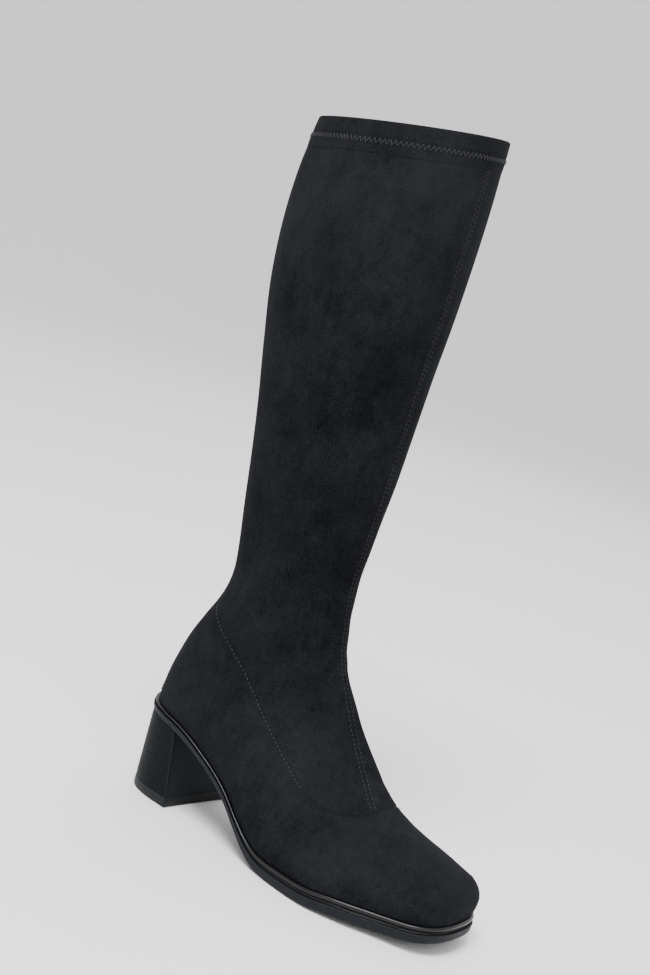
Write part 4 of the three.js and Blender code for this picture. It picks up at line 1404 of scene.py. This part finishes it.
@dataclass
class Bottom:
    """Welt, outsole and insole."""

    last: Last
    welt_reach: float = 1.7
    ledge: float = 8.0
    sole_reach: float = 2.2
    tread_depth: float = 0.45
    tread_pitch: float = 4.2

    @staticmethod
    def _height(low: Height, high: Height, share: float, rise: float) -> Height:
        """Height at a share of the way from one line of the sole to another, and a little over it.

        Args:
            low: the lower line.
            high: the upper line.
            share: 0 on the lower line, 1 on the upper.
            rise: how far over it.

        Returns:
            The height at each distance from the heel's back.
        """
        return lambda fwd: low(fwd) + (high(fwd) - low(fwd)) * share + rise

    def _welt_low(self, fwd: np.ndarray) -> np.ndarray:
        """Height of the welt's bottom."""
        return self.last.sole_top(fwd) + self.last.gap * 0.3

    def _welt_high(self, fwd: np.ndarray) -> np.ndarray:
        """Height of the welt's top, up against the upper."""
        return self.last.welt_top(fwd) + 0.25

    def _shell(self, sheet: Sheet, rim: Rim, low: Height, high: Height,
               profile: Sequence[Sequence[float]]) -> tuple[np.ndarray, list[Edge]]:
        """Adds a side face of the sole.

        Args:
            sheet: the piece so far.
            rim: its stations.
            low: the profile's lower line.
            high: the profile's upper line.
            profile: reach beyond the feather edge, share of the way up and rise, ring by ring.

        Returns:
            The point numbers, and each ring's reach and height.
        """
        edges = [(reach, self._height(low, high, share, rise)) for reach, share, rise in profile]
        return sheet.add(np.array([rim.ring(*edge) for edge in edges])), edges

    def welt(self) -> bpy.types.Object:
        """Builds the polished bead over its dark groove."""
        rim = Rim(self.last, self.welt_reach, 210)
        profile = [(-self.ledge, 1.0, 0), (-1.2, 1.0, 0), (0.2, 0.97, 0)]
        for turn in np.radians(np.linspace(80, -80, 11)):
            profile.append((0.35 + (self.welt_reach - 0.2) * math.cos(turn), 0.66 + 0.30 * math.sin(turn), 0))
        profile += [(0.1, 0.34, 0), (-0.15, 0.24, 0), (-0.15, 0.08, 0), (0.3, 0.0, 0), (-self.ledge, 0.0, 0)]
        sheet = Sheet(self.last)
        numbers, _ = self._shell(sheet, rim, self._welt_low, self._welt_high, profile)
        sheet.skin(np.vstack([numbers, numbers[:1]]), wrap=True)
        mesh = sheet.mesh("welt_bead", outward=True)
        return place_piece(mesh, WELT_POLISH.material("welt_polish"), BOOT,
                           stands_for=("welt",), crisp=70)

    def outsole(self) -> bpy.types.Object:
        """Builds the outsole: lip, side wall and treaded underside."""
        rim = Rim(self.last, self.sole_reach + 0.12, 250)
        profile = [(reach + self.sole_reach, share, rise) for reach, share, rise in (
            (-1.6, 1, -0.02), (-0.55, 1, 0), (-0.15, 1, -0.10), (0.08, 1, -0.36), (0.12, 1, -0.70),
            (-0.04, 1, -1.05), (-0.08, 0.55, 0), (-0.12, 0.30, 0), (-0.25, 0, 0.75), (-0.55, 0, 0.28),
            (-1.05, 0, 0.04), (-1.7, 0, 0),
        )]
        sheet = Sheet(self.last)
        numbers, edges = self._shell(sheet, rim, self.last.under, self.last.sole_top, profile)
        sheet.skin(numbers, wrap=True)
        self._cap(sheet, rim, numbers[0], edges[0], 6)
        self._cap(sheet, rim, numbers[-1], edges[-1], 56, self._tread)
        mesh = sheet.mesh("outsole_moulded", outward=True)
        return place_piece(mesh, SOLE_RUBBER.material("sole_rubber"), BOOT,
                           stands_for=("outsole",), crisp=50)

    @staticmethod
    def _cap(sheet: Sheet, rim: Rim, ring: np.ndarray, edge: Edge, across: int,
             shape: Optional[Callable[[np.ndarray, np.ndarray, np.ndarray], np.ndarray]] = None) -> None:
        """Fills the face inside a ring.

        Args:
            sheet: the piece so far.
            rim: the ring's stations.
            ring: its point numbers.
            edge: its reach and height.
            across: cells from side to side.
            shape: height of the face at x, y and the edge's height; flat across by default.
        """
        outer, inner = rim.sides(*edge)
        count = len(outer)
        share = np.linspace(0, 1, across + 1)[1:-1]
        inside = outer[1:-1, None] * (1 - share)[None, :, None] + inner[1:-1, None] * share[None, :, None]
        if shape:
            inside[..., 2] = shape(inside[..., 0], inside[..., 1], inside[..., 2])
        numbers = sheet.add(inside)
        left = ring[1:count - 1]
        right = ring[count:][::-1]
        grid = np.hstack([left[:, None], numbers, right[:, None]])
        sheet.skin(grid)
        for tip, row in ((ring[0], grid[0]), (ring[count - 1], grid[-1])):
            for a, b in zip(row[:-1], row[1:]):
                sheet.faces.append((int(tip), int(a), int(b)))

    def _tread(self, x: np.ndarray, y: np.ndarray, z: np.ndarray) -> np.ndarray:
        """Underside with fine curved ribs under the forefoot, plain at its border and at the arch."""
        fwd = -y
        outer, inner = self.last.outline(fwd, 0.0)
        edge = np.minimum(x + outer, inner - x)
        ribs = np.sin(2 * np.pi * (fwd / self.tread_pitch + 0.35 * np.sin(x / 5.5)))
        cut = np.clip((ribs - 0.15) * 1.6, 0, 1)
        inside = np.clip((edge - 4.5) / 1.2, 0, 1) * np.clip((fwd - 112) / 1.5, 0, 1)
        inside *= np.clip((226 - fwd) / 1.5, 0, 1)
        groove = np.exp(-(((edge - 3.4) / 0.6) ** 2)) * np.clip((fwd - 96) / 6, 0, 1)
        return z + self.tread_depth * np.maximum(cut * inside, groove * 0.8)

    def insole(self) -> bpy.types.Object:
        """Builds the insole with its soft sock on top."""
        rim = Rim(self.last, -1.9, 120)
        profile = ((-8.4, 0, 0.4), (-8.4, 1, 0.1), (-3.0, 1, 0.1), (-2.9, 1, 1.4),
                   (-3.2, 1, 2.0), (-4.0, 1, 2.3))
        sheet = Sheet(self.last)
        numbers, edges = self._shell(sheet, rim, self.last.sole_top, self.last.feather_up, profile)
        sheet.skin(numbers, wrap=True)
        self._cap(sheet, rim, numbers[0], edges[0], 8)
        self._cap(sheet, rim, numbers[-1], edges[-1], 20, self._cushion)
        mesh = sheet.mesh("insole_sock", outward=True)
        finish = Knit(colour=(0.0080, 0.0080, 0.0090), pitch=0.0012).material("sock")
        return place_piece(mesh, finish, BOOT, stands_for=("insole",), crisp=50)

    def _cushion(self, x: np.ndarray, y: np.ndarray, z: np.ndarray) -> np.ndarray:
        """Soft crown of the sock, hollowed a little under the heel."""
        fwd = -y
        outer, inner = self.last.outline(fwd, -4.0)
        edge = np.clip(np.minimum(x + outer, inner - x) / 8, 0, 1)
        hollow = np.exp(-(((fwd - 28) / 20) ** 2) - (x / 18) ** 2)
        return z + 0.7 * edge * (1 - 0.8 * hollow)

    def build(self) -> None:
        """Builds the three pieces."""
        self.welt()
        self.outsole()
        self.insole()


@dataclass
class Heel:
    """Flared block heel, scored like stacked leather, and its rubber top piece."""

    last: Last
    square: float = 2.7
    straight: float = 7.0
    middle: float = 22.0
    turn: float = math.radians(5)
    top_piece: float = 6.0
    layer: float = 2.0
    score: float = 0.13
    sizes: tuple[tuple[float, float, float, float], ...] = (
        (0, -1.1, 41.5, 28.3), (6, -1.1, 40.6, 28.2), (30, -1.0, 36.4, 28.6), (60, -0.2, 31.0, 29.2),
    )
    corner: float = 0.9
    side_points: int = 7
    arc_points: int = 90
    breast_points: int = 26
    rows: int = 132

    def __post_init__(self) -> None:
        """Counts the outline's points and starts the store of outlines."""
        self.wrapped = 2 * self.side_points + self.arc_points
        self.count = self.wrapped + self.breast_points + 2
        self._rings: dict[float, tuple[np.ndarray, np.ndarray]] = {}

    def _ring(self, up: float, inset: float = 0.0) -> np.ndarray:
        """Outline at a height: the wrapped sides and back first, then the breast.

        Args:
            up: the height.
            inset: how far inside the face.

        Returns:
            Its points.
        """
        levels = [row[0] for row in self.sizes]
        back, front, half = (np.interp(up, levels, [row[k] for row in self.sizes]) for k in (1, 2, 3))
        back, front, half = back + inset, front - inset, half - inset
        theta = np.linspace(0, np.pi, self.arc_points)
        cos, sin = np.cos(theta), np.clip(np.sin(theta), 0, 1)
        x = -half * np.sign(cos) * np.abs(cos) ** (2 / self.square)
        fwd = front - self.straight - (front - self.straight - back) * sin ** (2 / self.square)
        side = np.linspace(front - self.corner, front - self.straight, self.side_points + 1)[:-1]
        breast = np.linspace(half - self.corner, -half + self.corner, self.breast_points)
        hollow = 0.5 * (1 - (breast / half) ** 2)
        ease = 0.26 * self.corner
        straight = np.full(self.side_points, half)
        xs = np.concatenate([-straight, x, straight, [half - ease], breast, [-half + ease]])
        ys = np.concatenate([side, fwd, side[::-1], [front - ease], front - hollow, [front - ease]])
        away = ys - self.middle
        return np.stack([
            xs * math.cos(self.turn) - away * math.sin(self.turn),
            -(self.middle + away * math.cos(self.turn) + xs * math.sin(self.turn)),
            np.full(len(xs), float(up)),
        ], axis=1)

    def _at(self, index: int, up: float, inset: float) -> np.ndarray:
        """One point of the outline at a height, read from outlines every quarter of a millimetre."""
        key = round(up * 4) / 4
        if key not in self._rings:
            plain = self._ring(key)
            self._rings[key] = (plain, self._ring(key, 1.0) - plain)
        plain, inward = self._rings[key]
        point = plain[index] + inset * inward[index]
        return np.array([point[0], point[1], up])

    def block(self) -> bpy.types.Object:
        """Builds the block up to the outsole's underside."""
        low = np.full(self.count, self.top_piece + 0.12)
        high = np.full(self.count, 50.0)
        for _ in range(6):
            spots = np.array([self._ring(h)[k] for k, h in enumerate(high)])
            high = self.last.under(-spots[:, 1]) - 0.12
        grid = []
        for share in np.linspace(0, 1, self.rows):
            bevel = 0.25 * math.exp(-(share * self.rows / 1.2))
            ring = []
            for k, up in enumerate(low + (high - low) * share):
                score = self.score if k < self.wrapped else 0.0
                off_line = (up / self.layer) % 1.0 - 0.5
                ring.append(self._at(k, up, bevel + score * math.exp(-((off_line / 0.16) ** 2))))
            grid.append(ring)
        sheet = Sheet(self.last)
        numbers = sheet.add(np.array(grid))
        sheet.skin(numbers, wrap=True)
        sheet.lids(numbers)
        mesh = sheet.mesh("heel_stacked", outward=True)
        mesh.materials.append(Stacked().material("heel_stack"))
        mesh.materials.append(HEEL_BREAST.material("heel_breast"))
        for index, face in enumerate(mesh.polygons):
            if index < (self.rows - 1) * self.count and index % self.count >= self.wrapped:
                face.material_index = 1
        return place_piece(mesh, mesh.materials[0], BOOT,
                           stands_for=("heel_block",), crisp=35)

    def rubber(self) -> bpy.types.Object:
        """Builds the top piece with eased edges."""
        levels = [(0.0, 1.1), (0.05, 0.5), (0.25, 0.2), (0.7, 0.0), (3.0, -0.04), (5.2, 0.0), (5.75, 0.12),
                  (5.95, 0.4), (6.0, 1.2)]
        sheet = Sheet(self.last)
        numbers = sheet.add(np.array([self._ring(up, inset) for up, inset in levels]))
        sheet.skin(numbers, wrap=True)
        sheet.lids(numbers)
        mesh = sheet.mesh("top_piece_rubber", outward=True)
        return place_piece(mesh, TOP_RUBBER.material("top_rubber"), BOOT,
                           stands_for=("heel_top_piece",), crisp=40)

    def build(self) -> None:
        """Builds the block and its top piece."""
        self.block()
        self.rubber()


# ------------------------------------------------------------------------------------------ the zip
@dataclass
class Zip:
    """Coil zip with its tape, stops, slider and hanging pull."""

    last: Last
    upper: Upper
    tooth_pitch: float = 1.35
    tape_half: float = 8.0
    slider_below: float = 13.0
    plate: float = 2.4
    bridge: float = 4.4
    bridge_half: float = 4.2
    bar: float = 1.3
    slider_size: tuple[float, float] = (7.6, 11.0)

    def __post_init__(self) -> None:
        """Finds the ends of the chain and the slider's frame."""
        self.top = self.last.zip_place(self.last.collar["up"] - 4)
        self.bottom = self.last.zip_place(self.upper.zip_bottom + 0.6)
        self.slider_place = self.last.zip_place(self.last.collar["up"] - self.slider_below)
        self.frame = self.last.zip_frame(self.slider_place)

    def _frames(self, places: np.ndarray) -> dict[str, np.ndarray]:
        """Frames on the zip's line at many places."""
        frames = [self.last.zip_frame(float(place)) for place in places]
        return {key: np.array([f[key] for f in frames]) for key in frames[0]}

    def _even(self, step: float) -> np.ndarray:
        """Evenly spaced places down the chain."""
        places = np.linspace(self.top, self.bottom, 240)
        points = self._frames(places)["point"]
        length = distance_along(points)
        return np.interp(np.arange(0.6, length[-1], step), length, places)

    def tape(self) -> bpy.types.Object:
        """Builds the two tapes behind the teeth."""
        collar = self.last.zip_place(self.last.collar["up"] + 2.0)
        f = self._frames(np.linspace(collar, self.bottom + 0.1, 150))
        sheet = Sheet(self.last)
        for sign in (-1, 1):
            rows = []
            for across, out in ((0.15, -0.05), (2.2, -0.05), (2.4, -0.12), (self.tape_half, -0.25),
                                (self.tape_half, -0.55), (2.2, -0.42), (0.15, -0.42)):
                rows.append(f["point"] + sign * across * f["across"] + out * f["outward"])
            sheet.bar(np.array(rows))
        mesh = sheet.mesh("zip_tape", outward=True)
        return place_piece(mesh, Knit(pitch=0.0011).material("tape"), BOOT)

    def teeth(self) -> bpy.types.Object:
        """Builds the closed coil and its two stops."""
        sheet = Sheet(self.last)
        f = self._frames(self._even(self.tooth_pitch / 2))
        sign = np.where(np.arange(len(f["point"])) % 2 == 0, 1.0, -1.0)[:, None]
        centres = f["point"] + 0.62 * sign * f["across"] + 0.55 * f["outward"]
        sheet.pills(centres, f["across"], f["down"], (1.25, 0.42, 0.62))
        for place, size in ((self.bottom, (2.1, 1.2, 1.0)), (self.top, (2.0, 0.9, 0.9))):
            end = self._frames(np.array([place]))
            sheet.pills(end["point"] + 0.5 * end["outward"], end["across"], end["down"], size)
        finish = TEETH_NYLON.material("teeth_nylon")
        return place_piece(sheet.mesh("zip_coil"), finish, BOOT, stands_for=("zip_chain",))

    @staticmethod
    def _flat_part(name: str, loops: Sequence[Sequence[tuple[float, float]]], thick: float,
                   round_edge: float) -> bpy.types.Mesh:
        """Cuts a flat part with rounded edges.

        Args:
            name: mesh name.
            loops: its outline, then its holes, in its own x and y.
            thick: thickness, centred on its own z of 0.
            round_edge: radius of its edges.

        Returns:
            The mesh, in millimetres of the part.
        """
        curve = bpy.data.curves.new(name, "CURVE")
        curve.dimensions = "2D"
        curve.fill_mode = "BOTH"
        curve.extrude = thick / 2 - round_edge
        curve.bevel_depth = round_edge
        curve.offset = -round_edge
        curve.bevel_resolution = 3
        for loop in loops:
            line = curve.splines.new("POLY")
            line.points.add(len(loop) - 1)
            for point, (x, y) in zip(line.points, loop):
                point.co = (x, y, 0.0, 1.0)
            line.use_cyclic_u = True
        holder = bpy.data.objects.new(name + "_curve", curve)
        bpy.context.scene.collection.objects.link(holder)
        bpy.context.view_layer.update()
        graph = bpy.context.evaluated_depsgraph_get()
        mesh = bpy.data.meshes.new_from_object(holder.evaluated_get(graph))
        bpy.data.objects.remove(holder)
        mesh.name = name
        mesh.materials.clear()
        return mesh

    def _seat(self, mesh: bpy.types.Mesh, across: np.ndarray, upward: np.ndarray, outward: np.ndarray,
              origin: np.ndarray) -> None:
        """Moves a part from its own millimetres to the frame's metres."""
        turn = Matrix([[*(float(axis[k]) for axis in (across, upward, outward)),
                        float(origin[k] + self.last.shift[k])] for k in range(3)] + [[0, 0, 0, 1]])
        mesh.transform(Matrix.Scale(0.001, 4) @ turn)

    def slider(self) -> bpy.types.Object:
        """Builds the slider: two waisted plates round the coil and the bridge that holds the pull."""
        wide, long = self.slider_size
        right = [(0.30, -0.50), (0.345, -0.44), (0.35, -0.10), (0.42, 0.05), (0.5, 0.20), (0.5, 0.42),
                 (0.46, 0.48), (0.36, 0.5)]
        face = [(wide * x, long * y) for x, y in right] + [(-wide * x, long * y) for x, y in right[::-1]]
        work = bmesh.new()
        for name, thick, edge, out in (("slider_plate", 1.3, 0.3, 1.75), ("slider_flange", 0.9, 0.25, 0.45)):
            part = self._flat_part(name, [face], thick, edge)
            part.transform(Matrix.Translation((0, 0, out)))
            work.from_mesh(part)
        foot = self.plate - 0.1
        half = self.bridge_half
        arch = []
        for angle in np.linspace(0, np.pi, 25):
            c, s = math.cos(angle), math.sin(angle)
            arch.append((half * np.sign(c) * abs(c) ** 0.45, foot + self.bridge * s**0.45))
        slim_x, slim_y = (half - self.bar) / half, (self.bridge - self.bar) / self.bridge
        inner = [(x * slim_x, foot + (y - foot) * slim_y) for x, y in arch]
        bridge = self._flat_part("slider_bridge", [arch + inner[::-1]], 2.2, 0.35)
        bridge.transform(Matrix(((0, 0, 1, 0), (1, 0, 0, 0), (0, 1, 0, 0), (0, 0, 0, 1))))
        work.from_mesh(bridge)
        made = bpy.data.meshes.new("zip_slider_body")
        work.to_mesh(made)
        work.free()
        up = -self.frame["down"]
        across = np.cross(up, self.frame["outward"])
        base = self.frame["point"] + 2.05 * self.frame["outward"]
        self._seat(made, across, up, self.frame["outward"], base)
        finish = Plated().material("slider_metal")
        return place_piece(made, finish, BOOT, stands_for=("zip_slider",), crisp=50)

    def pull(self) -> bpy.types.Object:
        """Builds the pull: a long open eye and a curved solid leaf, hanging from the bridge."""
        low, high = (np.array(corner) * 1000 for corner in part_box("zip_pull"))
        top = 0.85
        neck = -18.2
        end = neck - 25.0
        side = [(2.5, top), (3.3, top - 0.25), (3.7, top - 1.2), (3.62, -6.0), (3.48, neck + 4),
                (3.15, neck + 1), (2.74, neck - 1.0), (2.75, neck - 5), (3.05, neck - 9), (3.15, neck - 13),
                (2.75, neck - 17), (2.0, neck - 21), (0.9, neck - 23.8), (-0.4, end + 0.35)]
        other = [(-1.5, end + 0.7), (-2.2, neck - 23.0), (-2.7, neck - 19), (-3.0, neck - 14),
                 (-2.85, neck - 9), (-2.7, neck - 5), (-2.74, neck - 1.0), (-3.15, neck + 1),
                 (-3.48, neck + 4), (-3.62, -6.0), (-3.7, top - 1.2), (-3.3, top - 0.25), (-2.5, top)]
        hole = [(-1.75, -0.85), (-2.1, -1.3), (-2.05, -6.0), (-1.95, neck + 5), (-1.5, neck + 2.8),
                (-0.7, neck + 1.9), (0.0, neck + 1.7), (0.7, neck + 1.9), (1.5, neck + 2.8),
                (1.95, neck + 5), (2.05, -6.0), (2.1, -1.3), (1.75, -0.85)]
        mesh = self._flat_part("zip_pull_leaf", [side + other, hole], 1.6, 0.45)
        origin = np.array([(low[0] + high[0]) / 2, (low[1] + high[1]) / 2, high[2] - top]) - self.last.shift
        self._seat(mesh, np.array([0, 1, 0]), np.array([0, 0, 1]), np.array([1, 0, 0]), origin)
        finish = Plated(colour=(0.34, 0.35, 0.37)).material("pull_metal")
        return place_piece(mesh, finish, PULL, stands_for=("zip_pull",), crisp=50)

    def build(self) -> None:
        """Builds every piece of the zip."""
        self.tape()
        self.teeth()
        self.slider()
        self.pull()


# ------------------------------------------------------------------------------------------ the studio
@dataclass
class Studio:
    """Pale floor, soft lights and the camera."""

    last: Last
    eye: Triple = (-829.35, 593.02, 385.34)
    heading: float = -57.45
    pitch: float = 9.53
    roll: float = 17.24
    lens: float = 61.0
    glow: float = 1.1
    flat: float = 2.6
    rim: float = 2.4

    def floor(self) -> None:
        """Lays the floor: a wide shallow bowl, flat in the middle, just under the boot."""
        profile = [(0.02, 0.0), (0.5, 0.0), (1.5, 0.0), (self.flat, 0.0)]
        for angle in np.radians(np.linspace(8, 90, 16)):
            profile.append((self.flat + self.rim * math.sin(angle), self.flat * (1 - math.cos(angle))))
        around = np.linspace(0, 2 * np.pi, 96, endpoint=False)
        points = [(r * math.cos(t), r * math.sin(t), z - 0.0003) for r, z in profile for t in around]
        count = len(around)
        faces = [tuple(range(count))]
        for i in range(len(profile) - 1):
            for j in range(count):
                k = (j + 1) % count
                faces.append((i * count + j, (i + 1) * count + j, (i + 1) * count + k, i * count + k))
        mesh = bpy.data.meshes.new("floor")
        mesh.from_pydata(points, [], faces)
        mesh.polygons.foreach_set("use_smooth", [True] * len(mesh.polygons))
        mesh.materials.append(StudioPaper().material("floor_paper"))
        floor = bpy.data.objects.new("floor", mesh)
        bpy.context.scene.collection.objects.link(floor)

    @staticmethod
    def softbox(name: str, place: Triple, target: Triple, size: float, power: float) -> None:
        """Hangs one square light.

        Args:
            name: its name.
            place: where it hangs, in metres.
            target: what it faces.
            size: its side, in metres.
            power: its power in watts.
        """
        light = bpy.data.lights.new(name, "AREA")
        light.size = size
        light.energy = power
        lamp = bpy.data.objects.new(name, light)
        lamp.location = place
        aim = Vector(target) - Vector(place)
        lamp.rotation_euler = aim.to_track_quat("-Z", "Y").to_euler()
        bpy.context.scene.collection.objects.link(lamp)

    def lights(self) -> None:
        """Hangs the lights and sets the room's glow."""
        world = bpy.data.worlds.new("room")
        world.use_nodes = True
        sky = world.node_tree.nodes["Background"].inputs
        sky["Color"].default_value = (1.0, 1.0, 1.0, 1.0)
        sky["Strength"].default_value = self.glow
        bpy.context.scene.world = world
        middle = (0.0, 0.0, 0.2)
        self.softbox("key", (-0.9, -0.15, 1.9), (0.0, -0.05, 0.1), 0.9, 62.0)
        self.softbox("front", (-1.0, -1.5, 1.2), middle, 1.2, 9.0)
        self.softbox("fill", (1.6, 0.3, 1.5), middle, 1.6, 14.0)

    def camera(self) -> None:
        """Sets the camera where the boot is seen from its outer side."""
        a, e, r = (math.radians(v) for v in (self.heading, self.pitch, self.roll))
        back = Vector((math.sin(a) * math.cos(e), -math.cos(a) * math.cos(e), math.sin(e)))
        right = (-back).cross(Vector((0, 0, 1))).normalized()
        up = right.cross(-back)
        turned_right = right * math.cos(r) + up * math.sin(r)
        turned_up = up * math.cos(r) - right * math.sin(r)
        x, y, z = self.eye
        eye = (Vector((x, -y, z)) + Vector(self.last.shift)) / 1000.0
        lens = bpy.data.cameras.new("camera")
        lens.sensor_fit = "VERTICAL"
        lens.sensor_height = 36.0
        lens.lens = self.lens
        lens.clip_start = 0.01
        view = bpy.data.objects.new("camera", lens)
        rows = [(turned_right[k], turned_up[k], back[k], eye[k]) for k in range(3)]
        view.matrix_world = Matrix([*rows, (0, 0, 0, 1)])
        bpy.context.scene.collection.objects.link(view)
        bpy.context.scene.camera = view

    def build(self) -> None:
        """Builds the studio."""
        self.camera()
        self.floor()
        self.lights()


def main() -> None:
    """Builds the studio and the boot."""
    logging.basicConfig(level=logging.INFO, format="%(message)s")
    last = Last()
    Studio(last).build()
    upper = Upper(last)
    upper.build()
    CollarBand(last, upper.skin).build()
    Bottom(last).build()
    Heel(last).build()
    Zip(last, upper).build()


if __name__ == "__main__":
    main()
